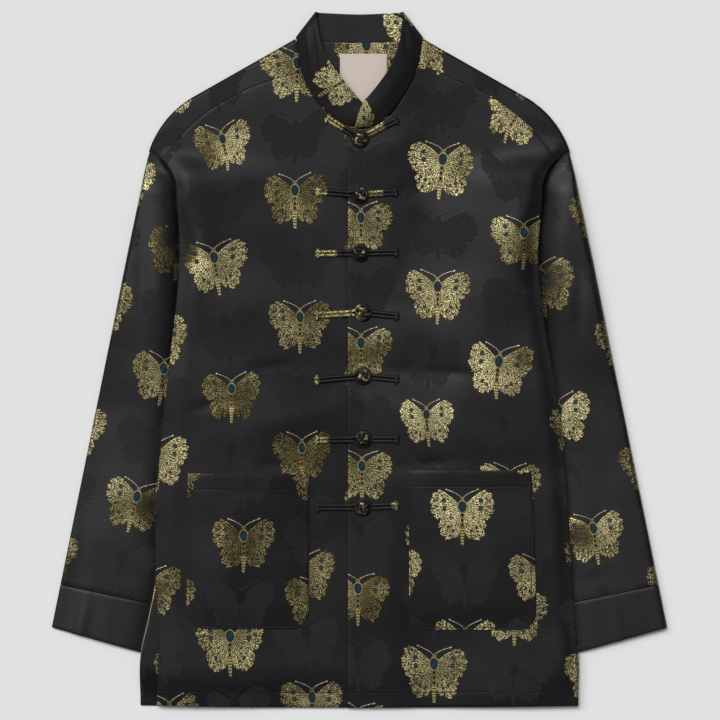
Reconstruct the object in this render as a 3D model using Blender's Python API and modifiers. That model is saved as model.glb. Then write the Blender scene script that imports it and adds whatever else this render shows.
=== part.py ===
"""A men's tang jacket of figured satin, laid flat on its back with its fronts fastened.

X runs to the right of someone who looks down at the jacket, Y towards the collar and Z up.
The origin is at the middle of the outline, on the surface that the jacket lies on.
Sizes are in millimetres and are turned to metres when a mesh is made.
"""

import math

import bpy
import numpy as np
from mathutils import Vector
from mathutils.bvhtree import BVHTree

MM = 0.001

# ---------------------------------------------------------------- driving sizes (mm)
WALL = 2.4                # cloth of the body and collar with its lining
SLEEVE_WALL = 2.0         # cloth of the sleeves and cuffs
TRIM_WALL = 1.2           # facing inside the back neck
LABEL_WALL = 0.8
POCKET_WALL = 1.8
SEAM_GAP = 0.3            # between two pieces that are sewn together or lie on each other
ARMHOLE_EDGE = 0.75       # share of the armhole seam that shows before the sleeve dives
ARMHOLE_GAP = 1.2         # the armhole is curved, and each side has its own facets

BACK_NECK_Y = 353.0       # back neckline at its middle
BACK_NECK_RISE = 4.0      # how much higher it is at the neck point
NECK_POINT = (72.0, 358.6)          # where collar, shoulder and back meet
SHOULDER_CORNER = (228.5, 269.7)    # where the shoulder line and the sleeve line would cross
SHOULDER_ROUND = 108.0              # radius of the shoulder's outline
SLEEVE_LEAN = math.radians(11.5)    # sleeve's outer fold against the Y axis
SHOULDER_TO_ARMHOLE = 211.0         # along the outline, from the neck point
CUFF_SEAM_ALONG = 706.0
CUFF_END_ALONG = 755.0

CENTRE_FRONT_X = -12.8    # edge of the front that lies on top
UNDERLAP = 30.0           # how far the other front runs under it
UNDERLAP_RAMP = 64.0
HEM_CORNER_Y = -387.0
HEM_SAG = 2.4             # the hem is this much lower at the middle

LAYER_GAP = 2.0           # air between back and front inside the body
FOLD_RADIUS = (WALL + LAYER_GAP) / 2    # of the cloth's middle over the shoulder
TUCKED_SLEEVE = 5.6       # thickness of the sleeve where the body lies on it
LIFT = 6.5                # how high the body lies there
FULL_SLEEVE = 8.2         # thickness of the sleeve that shows
SLEEVE_HEAD = 6.5         # how much thicker it is near the armhole
HEAD_LOW_Y = -60.0        # the head grows from here up
HEAD_RAMP_LOW = 140.0
HEAD_HIGH_Y = 185.0       # and fades from here up
HEAD_RAMP_HIGH = 40.0
TUCK_MARGIN = 14.0        # the body stays up this far past the sleeve's inner fold
TUCK_RAMP_BACK = 34.0     # width over which the back comes down beside the sleeve
TUCK_RAMP_FRONT = 50.0
TUCK_RAMP_HEM = 36.0
ARMHOLE_RISE = 34.0       # length over which the body climbs on to the sleeve at the armhole
SIDE_ROUND = 28.0         # width over which the front comes down to the side seam
HEM_ROUND = 36.0
CUFF_EDGE_RISE = 0.28     # rise of the cuff's end towards the outside, per mm
CUFF_CLEARANCE = 12.0     # the body stays up this far below the cuff's end

# The chest beside each armhole: height, distance of the crest from the seam, half width.
RIGHT_PUFF = (2.8, 13.0, 9.0)
LEFT_PUFF = (7.0, 25.0, 13.0)
PUFF_LOW_Y = 40.0         # the chest rises from here up
PUFF_RAMP_LOW = 90.0
PUFF_HIGH_Y = 210.0       # and flattens from here up
PUFF_RAMP_HIGH = 45.0
OPEN_TOP_Y = 130.0        # above this the front does not close down on the back at the side
OPEN_TOP_RAMP = 60.0
FOLDS_FADE = 50.0         # the fronts' soft folds fade out towards the sides and the hem
FOLDS_FADE_HEM = 30.0
SHOWN_SLEEVE_START = 3.0  # the sleeve fills out this far beyond the body's side
SHOWN_SLEEVE_RAMP = 23.0
UNDERLAP_EDGE = 10.0      # the top front stays up this far past the edge of the other one

PATCH_SPREAD = 7.0        # a patch bridges hollows narrower than this

CORD_RADIUS = 1.6
CORD_STEP = 6.0           # between points of a cord that lies on the fronts
CORD_SPREAD = 1.78        # from the middle of a doubled cord to the axis of each strand
KNOT_RADIUS = 8.0
KNOT_HEIGHT = 5.6         # half its height
KNOT_SWELL = 0.05         # of its radius, for the three turns of the cord round it
RING_RADIUS = 8.8
RING_THROAT = 3.2         # the strands part this far before the ring
RING_OPENING = 25.0       # half angle of the ring's open side (degrees)

POCKET_CORNER = 22.0
FACING_HALF_WIDTH = 52.0
FACING_BOTTOM = 268.0
FACING_TAPER = 0.25       # share of its width that it loses downwards
FACING_CURVE = 6.0        # how much its lower edge rises to the sides
COLLAR_CROWN = 1.4        # how much the band bulges between its seam and its edge
COLLAR_LOWEST = 1.3       # of the middle of its cloth, which leans a little at the back

# The sides of the body: half widths at heights y, each a row.
# columns: y, front_left, front_right, back_left, back_right
SIDE_ROWS = [
    (178.6, 204.3, 204.3, 204.3, 204.3),
    (122.0, 200.9, 199.8, 200.9, 199.8),
    (66.0, 204.3, 203.0, 204.3, 203.0),
    (20.0, 209.4, 210.0, 209.4, 210.0),
    (-46.0, 217.0, 222.0, 217.0, 222.0),
    (-104.0, 222.5, 228.0, 222.5, 228.0),
    (-172.0, 227.3, 233.5, 227.3, 233.5),
    (-246.0, 227.6, 237.5, 227.6, 237.5),
    (-290.0, 225.2, 240.5, 236.0, 241.0),
    (-326.0, 224.6, 243.3, 244.0, 244.4),
    (-388.0, 226.5, 244.4, 245.0, 245.0),
]

# The seam where the back, wrapped over the shoulder, meets the front, and the front neckline.
# columns: x, y_left, y_right
FRONT_TOP_ROWS = [
    (0.0, 257.2, 257.2),
    (12.8, 260.0, 258.6),
    (22.0, 266.0, 263.0),
    (36.0, 276.5, 273.5),
    (50.0, 291.5, 294.0),
    (60.0, 306.0, 313.0),
    (66.5, 321.0, 331.0),
    (105.0, 310.5, 314.0),
    (143.0, 294.0, 297.0),
    (175.0, 273.5, 274.0),
    (199.0, 251.0, 251.5),
    (218.8, 225.1, 225.1),
]
NECK_ROW = 6              # the row of the list above where the neckline ends and the seam starts

# A sleeve's sections from the armhole to the cuff seam.
# columns: along the outline from the neck point, inner x, inner y, bow towards the body
SLEEVE_ROWS = [
    (211.0, 204.3, 178.6, 14.0),
    (235.0, 190.5, 128.0, 9.0),
    (267.0, 171.5, 83.0, 5.0),
    (302.0, 154.5, 46.0, 2.0),
    (338.0, 142.0, 10.6, 0.0),
    (376.0, 134.0, -20.7, 0.0),
    (429.0, 130.5, -56.6, 0.0),
    (493.0, 134.0, -101.4, 0.0),
    (543.0, 143.0, -144.0, 0.0),
    (625.0, 170.5, -213.0, 0.0),
    (706.0, 194.0, -280.6, 0.0),
]
CUFF_INNER = (200.9, -339.9)

# The collar band from its left front end round the back to its right front end.
# columns: seam_x, seam_y, edge_x, edge_y, edge_z, turn (0 lies at the back, 1 on the fronts)
COLLAR_ROWS = [
    (7.0, 260.2, 13.0, 280.0, 8.6, 1.0),
    (-17.0, 264.2, 3.0, 287.5, 8.8, 1.0),
    (-35.0, 277.3, -5.0, 296.5, 10.4, 1.0),
    (-48.0, 291.0, -16.0, 310.0, 12.6, 1.0),
    (-58.5, 307.0, -27.0, 324.0, 14.2, 1.0),
    (-65.0, 324.0, -37.0, 339.0, 15.0, 1.0),
    (-67.4, 340.0, -43.5, 357.0, 14.6, 1.0),
    (-69.0, 354.0, -47.6, 379.0, 11.6, 1.0),
    (-70.0, 360.2, -48.6, 387.8, 6.0, 0.5),
    (-63.0, 358.2, -44.0, 388.0, 1.4, 0.0),
    (-48.0, 356.2, -33.0, 387.4, 1.2, 0.0),
    (0.0, 353.6, 0.0, 386.2, 1.2, 0.0),
    (48.0, 356.2, 33.0, 387.4, 1.2, 0.0),
    (63.0, 358.2, 44.0, 388.0, 1.4, 0.0),
    (70.0, 360.2, 48.6, 387.8, 6.0, 0.5),
    (69.0, 354.0, 48.2, 380.0, 11.6, 1.0),
    (67.0, 341.0, 45.6, 358.0, 14.8, 1.0),
    (63.8, 327.0, 40.6, 341.0, 15.4, 1.0),
    (57.8, 312.0, 33.0, 324.5, 15.2, 1.0),
    (46.8, 294.0, 23.0, 310.0, 14.8, 1.0),
    (33.8, 276.2, 13.5, 298.0, 14.2, 1.0),
    (16.0, 261.8, 6.2, 290.0, 13.6, 1.0),
    (-5.5, 259.4, 2.8, 286.6, 13.0, 1.0),
]

# Soft folds of the fronts.
# columns: x, y, angle (degrees from X), half length, half width, height
FOLD_ROWS = [
    (82.0, -14.0, -8.0, 46.0, 15.0, -0.9),
    (100.0, 26.0, -12.0, 60.0, 24.0, 0.8),
    (-108.0, -22.0, 8.0, 52.0, 18.0, -0.8),
    (-96.0, 62.0, -14.0, 66.0, 26.0, 0.8),
    (-88.0, -78.0, 10.0, 70.0, 22.0, 0.8),
    (96.0, -82.0, -6.0, 64.0, 22.0, 0.8),
    (58.0, 186.0, 4.0, 34.0, 14.0, -0.8),
    (128.0, 168.0, 58.0, 66.0, 26.0, 1.0),
    (-132.0, 176.0, -60.0, 66.0, 26.0, 1.0),
    (-118.0, -352.0, 4.0, 52.0, 16.0, 0.9),
]

# The pockets.  columns: inner x, outer x at the top, outer x at the bottom, top y, bottom y
POCKET_LEFT_FRONT = (55.6, 190.5, 196.5, -123.8, -304.0)
POCKET_RIGHT_FRONT = (-56.4, -191.0, -193.0, -127.1, -300.7)

# The label: left, right, top, bottom
LABEL_BOX = (-21.7, 30.8, 342.0, 283.0)

# The frogs from the collar down.
# columns: knot x, knot y, loop end x, loop end y, strap end x, strap end y
FROG_ROWS = [
    (0.7, 246.6, -38.5, 267.0, 42.0, 268.0),
    (0.7, 184.0, -48.0, 188.0, 42.0, 187.0),
    (1.0, 119.0, -48.0, 118.5, 42.5, 120.0),
    (4.0, 52.5, -49.0, 49.5, 43.0, 48.5),
    (4.0, -18.5, -49.0, -23.0, 43.0, -22.0),
    (4.0, -89.0, -49.0, -90.0, 43.0, -89.0),
    (4.0, -165.0, -48.0, -165.0, 42.5, -163.0),
]

# ---------------------------------------------------------------- grid sizes
SHARP_ANGLE = 50.0        # edges that turn more than this are shaded sharp (degrees)
COLUMN_BUNCHING = 0.3    # share by which the columns draw together towards the side
ROW_STEP = 24.0           # between rows of the body's grid
NECK_COLUMNS = 4
SHOULDER_COLUMNS = 10
FLAP_ROWS = 3
ARMHOLE_STEPS = 3
SLEEVE_RINGS = 15
SHOWN_POINTS = 6          # across the part of a sleeve that shows, and the part below the body
HIDDEN_POINTS = 4
FOLD_STEPS = 3
CUFF_RINGS = 3
COLLAR_SUBDIVISIONS = 2
COLLAR_CELLS = 4
POCKET_ROWS = 8
POCKET_COLUMNS = 9
POCKET_CORNER_STEPS = 4
FACING_ROWS = 6
FACING_COLUMNS = 9
LABEL_POINTS = 4
STRAP_POINTS = 4
RING_POINTS = 11
KNOT_SEGMENTS = 12
KNOT_RINGS = 8


# ---------------------------------------------------------------- small maths
def smooth(t):
    """A soft step from 0 to 1 while t goes from 0 to 1."""
    t = np.clip(t, 0.0, 1.0)
    return t * t * (3.0 - 2.0 * t)


def curve_through(knots, values, at):
    """A smooth curve through rows of values at rising knots, read at the places asked for."""
    knots = np.asarray(knots, float)
    values = np.asarray(values, float)
    at = np.clip(np.asarray(at, float), knots[0], knots[-1])
    slope = np.gradient(values, knots, axis=0)
    i = np.clip(np.searchsorted(knots, at, side="right") - 1, 0, len(knots) - 2)
    span = knots[i + 1] - knots[i]
    t = (at - knots[i]) / span
    shape = t.shape + (1,) * (values.ndim - 1)
    t = t.reshape(shape)
    span = span.reshape(shape)
    return (
        (2 * t**3 - 3 * t**2 + 1) * values[i]
        + (t**3 - 2 * t**2 + t) * span * slope[i]
        + (3 * t**2 - 2 * t**3) * values[i + 1]
        + (t**3 - t**2) * span * slope[i + 1]
    )


def column(rows, index):
    """One column of a table."""
    return np.array([row[index] for row in rows], float)


# ---------------------------------------------------------------- the outline
def outline(along):
    """Point and outward direction of the right half's outline, by length from the neck point.

    A straight shoulder line, a round shoulder and the sleeve's straight outer fold.
    """
    corner = np.array(SHOULDER_CORNER)
    down_sleeve = np.array([math.sin(SLEEVE_LEAN), -math.cos(SLEEVE_LEAN)])
    shoulder = corner - np.array(NECK_POINT)
    shoulder_length = np.linalg.norm(shoulder)
    shoulder = shoulder / shoulder_length
    turn = math.acos(float(shoulder @ down_sleeve))
    tangent = SHOULDER_ROUND * math.tan(turn / 2)
    straight = shoulder_length - tangent
    arc = SHOULDER_ROUND * turn
    inward = np.array([shoulder[1], -shoulder[0]])
    centre = np.array(NECK_POINT) + shoulder * straight + inward * SHOULDER_ROUND
    if along <= straight:
        return np.array(NECK_POINT) + shoulder * along, -inward
    if along <= straight + arc:
        angle = (along - straight) / SHOULDER_ROUND
        out = -inward * math.cos(angle) + shoulder * math.sin(angle)
        return centre + out * SHOULDER_ROUND, out
    out = np.array([-down_sleeve[1], down_sleeve[0]])
    return corner + down_sleeve * (tangent + along - straight - arc), out


def sleeve_section(outer, inner, bow, t):
    """Points across a sleeve from its outer fold (t = 0) to its inner fold (t = 1).

    A straight line, bowed towards the body where the section lies near the armhole.
    """
    t = np.asarray(t, float)[..., None]
    across = inner - outer
    across = across / np.linalg.norm(across)
    side = np.array([across[1], -across[0]])
    if side[1] < 0:
        side = -side
    return outer + (inner - outer) * t + side * (3.0 * bow * t * (1.0 - t))


def armhole(t):
    """The armhole seam from the shoulder (t = 0) to where the sleeve dives under the body."""
    first = SLEEVE_ROWS[0]
    return sleeve_section(outline(first[0])[0], np.array(first[1:3]), first[3], t)


ARMHOLE_T = np.linspace(0.0, 1.0, 101)
ARMHOLE_CURVE = armhole(ARMHOLE_T)
SEAM_END_T = float(np.interp(-FRONT_TOP_ROWS[-1][1], -ARMHOLE_CURVE[:, 1], ARMHOLE_T))


def side_x(y, which):
    """Half width of the body at height y; which is a column of SIDE_ROWS."""
    y = np.asarray(y, float)
    low = curve_through(-column(SIDE_ROWS, 0), column(SIDE_ROWS, which), -y)
    high = np.interp(-y, -ARMHOLE_CURVE[:, 1], ARMHOLE_CURVE[:, 0])
    return np.where(y > SIDE_ROWS[0][0], high, low)


# ---------------------------------------------------------------- heights of the layers
def tuck(x, y, ramp):
    """1 where the body lies on the sleeve below it, 0 where it lies on the ground."""
    inner_x = column(SLEEVE_ROWS, 1).tolist() + [CUFF_INNER[0]]
    inner_y = column(SLEEVE_ROWS, 2).tolist() + [CUFF_INNER[1]]
    edge = np.interp(-y, -np.array(inner_y), np.array(inner_x)) - TUCK_MARGIN
    beside = 1.0 - smooth((edge - np.abs(x)) / ramp)
    shoulder_y = ARMHOLE_CURVE[0, 1]
    top = smooth((shoulder_y - y) / ARMHOLE_RISE)
    cuff_y = CUFF_INNER[1] + CUFF_EDGE_RISE * (np.abs(x) - CUFF_INNER[0]) - CUFF_CLEARANCE
    down = min(ramp, TUCK_RAMP_HEM)
    bottom = smooth((y - cuff_y + down) / down)
    return beside * top * bottom


def back_level(x, y):
    """Height of the middle of the back's cloth."""
    return WALL / 2 + LIFT * tuck(x, y, TUCK_RAMP_BACK)


def folds(x, y):
    """Soft folds of the fronts: smooth bumps and troughs with round ends."""
    total = np.zeros_like(x)
    for fold_x, fold_y, angle, half_length, half_width, height in FOLD_ROWS:
        a = math.radians(angle)
        along = (x - fold_x) * math.cos(a) + (y - fold_y) * math.sin(a)
        across = (y - fold_y) * math.cos(a) - (x - fold_x) * math.sin(a)
        total = total + height * np.exp(-((along / half_length) ** 2) - (across / half_width) ** 2)
    return total


def front_level(x, y):
    """Height of the middle of the front's cloth, without the overlap's step."""
    x = np.asarray(x, float)
    y = np.asarray(y, float)
    base = WALL / 2 + LIFT * tuck(x, y, TUCK_RAMP_FRONT)
    from_side = np.where(x < 0, side_x(y, 1), side_x(y, 2)) - np.abs(x)
    closing = smooth(from_side / SIDE_ROUND) * smooth((y - HEM_CORNER_Y + HEM_SAG) / HEM_ROUND)
    open_top = smooth((y - OPEN_TOP_Y) / OPEN_TOP_RAMP)
    closing = closing + (1.0 - closing) * open_top
    height, crest, width = (np.where(x < 0, *pair) for pair in zip(RIGHT_PUFF, LEFT_PUFF))
    puff = height * np.exp(-(((from_side - crest) / width) ** 2))
    puff = puff * smooth((y - PUFF_LOW_Y) / PUFF_RAMP_LOW)
    puff = puff * (1.0 - smooth((y - PUFF_HIGH_Y) / PUFF_RAMP_HIGH))
    inside = smooth(from_side / FOLDS_FADE) * smooth((y - HEM_CORNER_Y) / FOLDS_FADE_HEM)
    gap = SEAM_GAP + (LAYER_GAP - SEAM_GAP) * closing
    return base + WALL + gap + puff * closing + folds(x, y) * inside


def overlap_step(x):
    """How much the top front is raised where the other front runs under it."""
    edge = CENTRE_FRONT_X + UNDERLAP
    return (WALL + SEAM_GAP) * (1.0 - smooth((x - edge - UNDERLAP_EDGE) / UNDERLAP_RAMP))


# ---------------------------------------------------------------- the body's shared grid
def column_fractions(side):
    """Places of the columns from the centre front (0) to the side (1), and the neck's place."""
    centre = side * CENTRE_FRONT_X
    end_x = FRONT_TOP_ROWS[-1][0]
    neck = (FRONT_TOP_ROWS[NECK_ROW][0] - centre) / (end_x - centre)
    inner = np.linspace(0.0, neck, NECK_COLUMNS + 1)
    t = np.linspace(0.0, 1.0, SHOULDER_COLUMNS + 1)[1:]
    even = (1.0 - COLUMN_BUNCHING) * t
    outer = neck + (1.0 - neck) * (even + COLUMN_BUNCHING * np.sin(t * math.pi / 2))
    return np.concatenate([inner, outer])


def side_points(which):
    """Points up one side of the body, from the hem to the end of the forward seam."""
    count = int(round((SIDE_ROWS[0][0] - HEM_CORNER_Y) / ROW_STEP))
    low_y = np.linspace(HEM_CORNER_Y, SIDE_ROWS[0][0] - 1e-6, count + 1)
    low = np.stack([side_x(low_y, which), low_y], axis=1)
    t = np.linspace(1.0, SEAM_END_T, ARMHOLE_STEPS + 1)[1:]
    return np.concatenate([low, armhole(t)])


def lower_grid(side, which, fractions):
    """Points (rows, columns, 2) of half the body from the hem to the forward seam and neckline."""
    edge = side_points(which)
    centre = side * CENTRE_FRONT_X
    x = centre + fractions[None, :] * (edge[:, :1] - centre)
    top_x = np.abs(centre + fractions * (edge[-1, 0] - centre))
    rows_x = column(FRONT_TOP_ROWS, 0)
    rows_y = column(FRONT_TOP_ROWS, 1 if side < 0 else 2)
    neckline = curve_through(rows_x[: NECK_ROW + 1], rows_y[: NECK_ROW + 1], top_x)
    seam = curve_through(rows_x[NECK_ROW:], rows_y[NECK_ROW:], top_x)
    top_y = np.where(top_x < rows_x[NECK_ROW] + 1e-6, neckline, seam)
    hem_y = HEM_CORNER_Y - HEM_SAG * (1.0 - np.clip(fractions, 0.0, 1.0) ** 2)
    reach = (edge[:, 1] - edge[0, 1]) / (edge[-1, 1] - edge[0, 1])
    y = hem_y[None, :] + reach[:, None] * (top_y - hem_y)[None, :]
    return np.stack([side * x, y], axis=2)


def back_neck_x():
    """Half width of the back neckline, where it meets the fold of the shoulder."""
    point, out = outline(0.0)
    return (point - out * (FOLD_RADIUS + WALL / 2))[0]


def upper_grid(side, fractions, below):
    """Rows from the forward seam to the shoulder's outline and the back neckline.

    Returns the points above the seam and each column's outward direction at the outline.
    """
    neck = fractions[NECK_COLUMNS]
    ends = []
    outs = []
    for fraction in fractions:
        share = max(0.0, (fraction - neck) / (1.0 - neck))
        point, out = outline(SHOULDER_TO_ARMHOLE * share)
        if fraction < neck - 1e-6:
            centre = side * CENTRE_FRONT_X
            x = centre + fraction / neck * (back_neck_x() - centre)
            point = np.array([x, BACK_NECK_Y + BACK_NECK_RISE * (x / NECK_POINT[0]) ** 2])
        else:
            point = point - out * (FOLD_RADIUS + WALL / 2)
        ends.append(point)
        outs.append(out)
    ends = np.array(ends)
    outs = np.array(outs)
    start = below * [side, 1.0]
    w = np.linspace(0.0, 1.0, FLAP_ROWS + 1)[1:, None, None]
    rows = start[None] * (1.0 - w) + ends[None] * w
    straight = start[-1] * (1.0 - w[:, 0]) + ends[-1] * w[:, 0]
    bent = armhole(SEAM_END_T * (1.0 - w[:, 0, 0])) + (w[:, 0] * (ends[-1] - ARMHOLE_CURVE[0]))
    pull = np.clip((fractions - neck) / (1.0 - neck), 0.0, 1.0) ** 3
    rows = rows + pull[None, :, None] * (bent - straight)[:, None, :]
    return rows * [side, 1.0], outs * [side, 1.0]


def raised(flat, level):
    """Points with a height added."""
    z = level(flat[..., 0], flat[..., 1])
    return np.concatenate([flat, z[..., None]], axis=-1)


# ---------------------------------------------------------------- meshes and materials
def linear(hex_colour):
    """The linear colour of an sRGB hex value."""
    channels = [int(hex_colour[i:i + 2], 16) / 255.0 for i in (1, 3, 5)]
    lin = [c / 12.92 if c <= 0.04045 else ((c + 0.055) / 1.055) ** 2.4 for c in channels]
    return (*lin, 1.0)


def finish(name, colour, roughness):
    """A plain material for one kind of cloth."""
    material = bpy.data.materials.new(name)
    material.use_nodes = True
    shader = material.node_tree.nodes["Principled BSDF"]
    shader.inputs["Base Color"].default_value = linear(colour)
    shader.inputs["Roughness"].default_value = roughness
    return material


def add_object(name, vertices, faces, material):
    """An object from points in millimetres and faces, in the jacket's collection."""
    mesh = bpy.data.meshes.new(name)
    mesh.from_pydata((np.asarray(vertices) * MM).tolist(), [], faces)
    mesh.update()
    mesh.materials.append(material)
    obj = bpy.data.objects.new(name, mesh)
    jacket.objects.link(obj)
    return obj


def grid_faces(rows, columns, keep=None, closed=False):
    """Quads of a grid of points; keep is a mask of cells, and closed joins the last column."""
    faces = []
    for r in range(rows - 1):
        for c in range(columns if closed else columns - 1):
            if keep is None or keep[r, c]:
                d = (c + 1) % columns
                faces.append((r * columns + c, r * columns + d,
                              (r + 1) * columns + d, (r + 1) * columns + c))
    return faces


def sheet(name, points, wall, material, keep=None):
    """A wall of cloth: a grid of points at the middle of the cloth, made solid."""
    rows, columns = points.shape[:2]
    faces = grid_faces(rows, columns, keep)
    used = sorted({index for face in faces for index in face})
    place = {index: i for i, index in enumerate(used)}
    faces = [tuple(place[index] for index in face) for face in faces]
    obj = add_object(name, points.reshape(-1, 3)[used], faces, material)
    solid = obj.modifiers.new("cloth", "SOLIDIFY")
    solid.thickness = wall * MM
    solid.offset = 0.0
    solid.use_even_offset = True
    obj.data.shade_smooth()
    obj.data.set_sharp_from_angle(angle=math.radians(SHARP_ANGLE))
    return obj


def surface_tree(*objects):
    """A tree for finding the top of finished pieces."""
    graph = bpy.context.evaluated_depsgraph_get()
    graph.update()
    return [BVHTree.FromObject(obj, graph) for obj in objects]


def top_of(trees, x, y, spread=0.0):
    """Highest point of the pieces below (x, y), in millimetres, also within a small spread."""
    best = 0.0
    for dx in (-spread, 0.0, spread):
        for dy in (-spread, 0.0, spread):
            for tree in trees:
                start = Vector(((x + dx) * MM, (y + dy) * MM, 1.0))
                hit = tree.ray_cast(start, Vector((0.0, 0.0, -1.0)))[0]
                if hit is not None:
                    best = max(best, hit.z / MM)
    return best


# ---------------------------------------------------------------- the body
def make_back():
    """The back, from the hem up to the neck and over both shoulders to the forward seams."""
    halves = []
    for side, which in ((-1, 3), (1, 4)):
        fractions = column_fractions(side)
        low = lower_grid(side, which, fractions)
        up, outs = upper_grid(side, fractions, low[-1])
        floor = raised(np.concatenate([low, up]), back_level)
        seam_and_up = np.concatenate([low[-1:], up])
        flap = raised(seam_and_up, front_level)[::-1]
        flap[-1, :, 1] += SEAM_GAP
        bend = []
        for k in range(1, FOLD_STEPS + 1):
            angle = math.pi * k / (FOLD_STEPS + 1)
            middle = (floor[-1] + flap[0]) / 2
            half = (flap[0, :, 2:] - floor[-1, :, 2:]) / 2
            ring = middle.copy()
            ring[:, :2] += outs * half * math.sin(angle)
            ring[:, 2:] -= half * math.cos(angle)
            bend.append(ring)
        halves.append(np.concatenate([floor, np.array(bend), flap]))
    left, right = halves
    points = np.concatenate([left[:, ::-1], right[:, 1:]], axis=1)
    rows, columns = points.shape[:2]
    keep = np.ones((rows - 1, columns - 1), bool)
    floor_rows = rows - FOLD_STEPS - (FLAP_ROWS + 1)
    keep[floor_rows - 1:, SHOULDER_COLUMNS:SHOULDER_COLUMNS + 2 * NECK_COLUMNS] = False
    return sheet("back_panel", points, WALL, brocade, keep)


def make_front(name, side, which):
    """A front, from the hem to the forward shoulder seam and the neckline."""
    fractions = column_fractions(side)
    if side < 0:
        reach = FRONT_TOP_ROWS[-1][0] + CENTRE_FRONT_X
        fractions = np.concatenate([[-UNDERLAP / reach, -UNDERLAP / 2 / reach], fractions])
    points = raised(lower_grid(side, which, fractions), front_level)
    if side > 0:
        points[..., 2] += overlap_step(points[..., 0])
    else:
        points = points[:, ::-1]
    return sheet(name, points, WALL, brocade)


# ---------------------------------------------------------------- sleeves and cuffs
def sleeve_thickness(x, y, which):
    """A sleeve's thickness: thin where the body lies on it, full where it shows."""
    outside = np.abs(x) - side_x(y, which)
    grown = smooth((outside - SHOWN_SLEEVE_START) / SHOWN_SLEEVE_RAMP)
    head = smooth((y - HEAD_LOW_Y) / HEAD_RAMP_LOW)
    head = head * (1.0 - smooth((y - HEAD_HIGH_Y) / HEAD_RAMP_HIGH))
    return TUCKED_SLEEVE + (FULL_SLEEVE + SLEEVE_HEAD * head - TUCKED_SLEEVE) * grown


def tube_ring(outer, inner, bow, which, wall, shift=0.0):
    """One loop round a flattened tube, at the middle of its cloth.

    It runs over the top from the outer fold to the inner one and back along the ground, with a
    half circle at each fold.
    """
    across = (inner - outer) / np.linalg.norm(inner - outer)
    away = np.array([-across[1], across[0]])
    away = away if away[1] < 0 else -away
    outer = outer + away * shift
    inner = inner + away * shift
    ends = np.array([outer, inner])
    inset = sleeve_thickness(ends[:, 0], ends[:, 1], which) / 2 / np.linalg.norm(inner - outer)
    trial = np.linspace(0.0, 1.0, 41)
    line = sleeve_section(outer, inner, bow, trial)
    outside = np.abs(line[:, 0]) - side_x(line[:, 1], which)
    edge = ARMHOLE_EDGE if shift else float(np.interp(-1.0, -outside, trial))
    shown = np.linspace(inset[0], edge, SHOWN_POINTS)
    hidden = np.linspace(edge, 1.0 - inset[1], HIDDEN_POINTS)[1:]
    flat = sleeve_section(outer, inner, bow, np.concatenate([shown, hidden]))
    full = sleeve_thickness(flat[:, 0], flat[:, 1], which)
    top = np.column_stack([flat, full - wall / 2])
    low = np.column_stack([flat, np.full(len(flat), wall / 2)])
    angles = np.linspace(math.pi / 2, -math.pi / 2, FOLD_STEPS + 2)[1:-1, None]
    caps = []
    for end, sign in ((-1, 1.0), (0, -1.0)):
        radius = (full[end] - wall) / 2
        turned = angles * sign
        plane = flat[end] + across * sign * radius * np.cos(turned)
        caps.append(np.hstack([plane, full[end] / 2 + radius * np.sin(turned)]))
    return np.concatenate([top, caps[0], low[::-1], caps[1]])


def make_tube(name, side, rings, wall, material):
    """A flattened tube of cloth, open at both ends."""
    points = np.array(rings) * [side, 1.0, 1.0]
    if side < 0:
        points = points[:, ::-1]
    rows, columns = points.shape[:2]
    faces = grid_faces(rows, columns, closed=True)
    obj = add_object(name, points.reshape(-1, 3), faces, material)
    solid = obj.modifiers.new("cloth", "SOLIDIFY")
    solid.thickness = wall * MM
    solid.offset = 0.0
    obj.data.shade_smooth()
    return obj


def make_sleeve(name, side, which):
    """A sleeve, lofted through its sections from the armhole to the cuff seam."""
    table = np.array(SLEEVE_ROWS)
    places = np.linspace(0.0, len(table) - 1.0, SLEEVE_RINGS)
    rows = curve_through(np.arange(len(table)), table, places)
    rings = []
    for i, (along, inner_x, inner_y, bow) in enumerate(rows):
        shift = ARMHOLE_GAP if i == 0 else 0.0
        outer = outline(along)[0]
        inner = np.array([inner_x, inner_y])
        rings.append(tube_ring(outer, inner, bow, which, SLEEVE_WALL, shift))
    return make_tube(name, side, rings, SLEEVE_WALL, brocade)


def make_cuff(name, side, which):
    """A plain band that carries the sleeve on to its end."""
    start = np.array(SLEEVE_ROWS[-1][1:3])
    end = np.array(CUFF_INNER)
    rings = []
    for t in np.linspace(SEAM_GAP * 1.5 / (CUFF_END_ALONG - CUFF_SEAM_ALONG), 1.0, CUFF_RINGS):
        outer = outline(CUFF_SEAM_ALONG + (CUFF_END_ALONG - CUFF_SEAM_ALONG) * t)[0]
        rings.append(tube_ring(outer, start + (end - start) * t, 0.0, which, SLEEVE_WALL))
    return make_tube(name, side, rings, SLEEVE_WALL, plain_satin)


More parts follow.
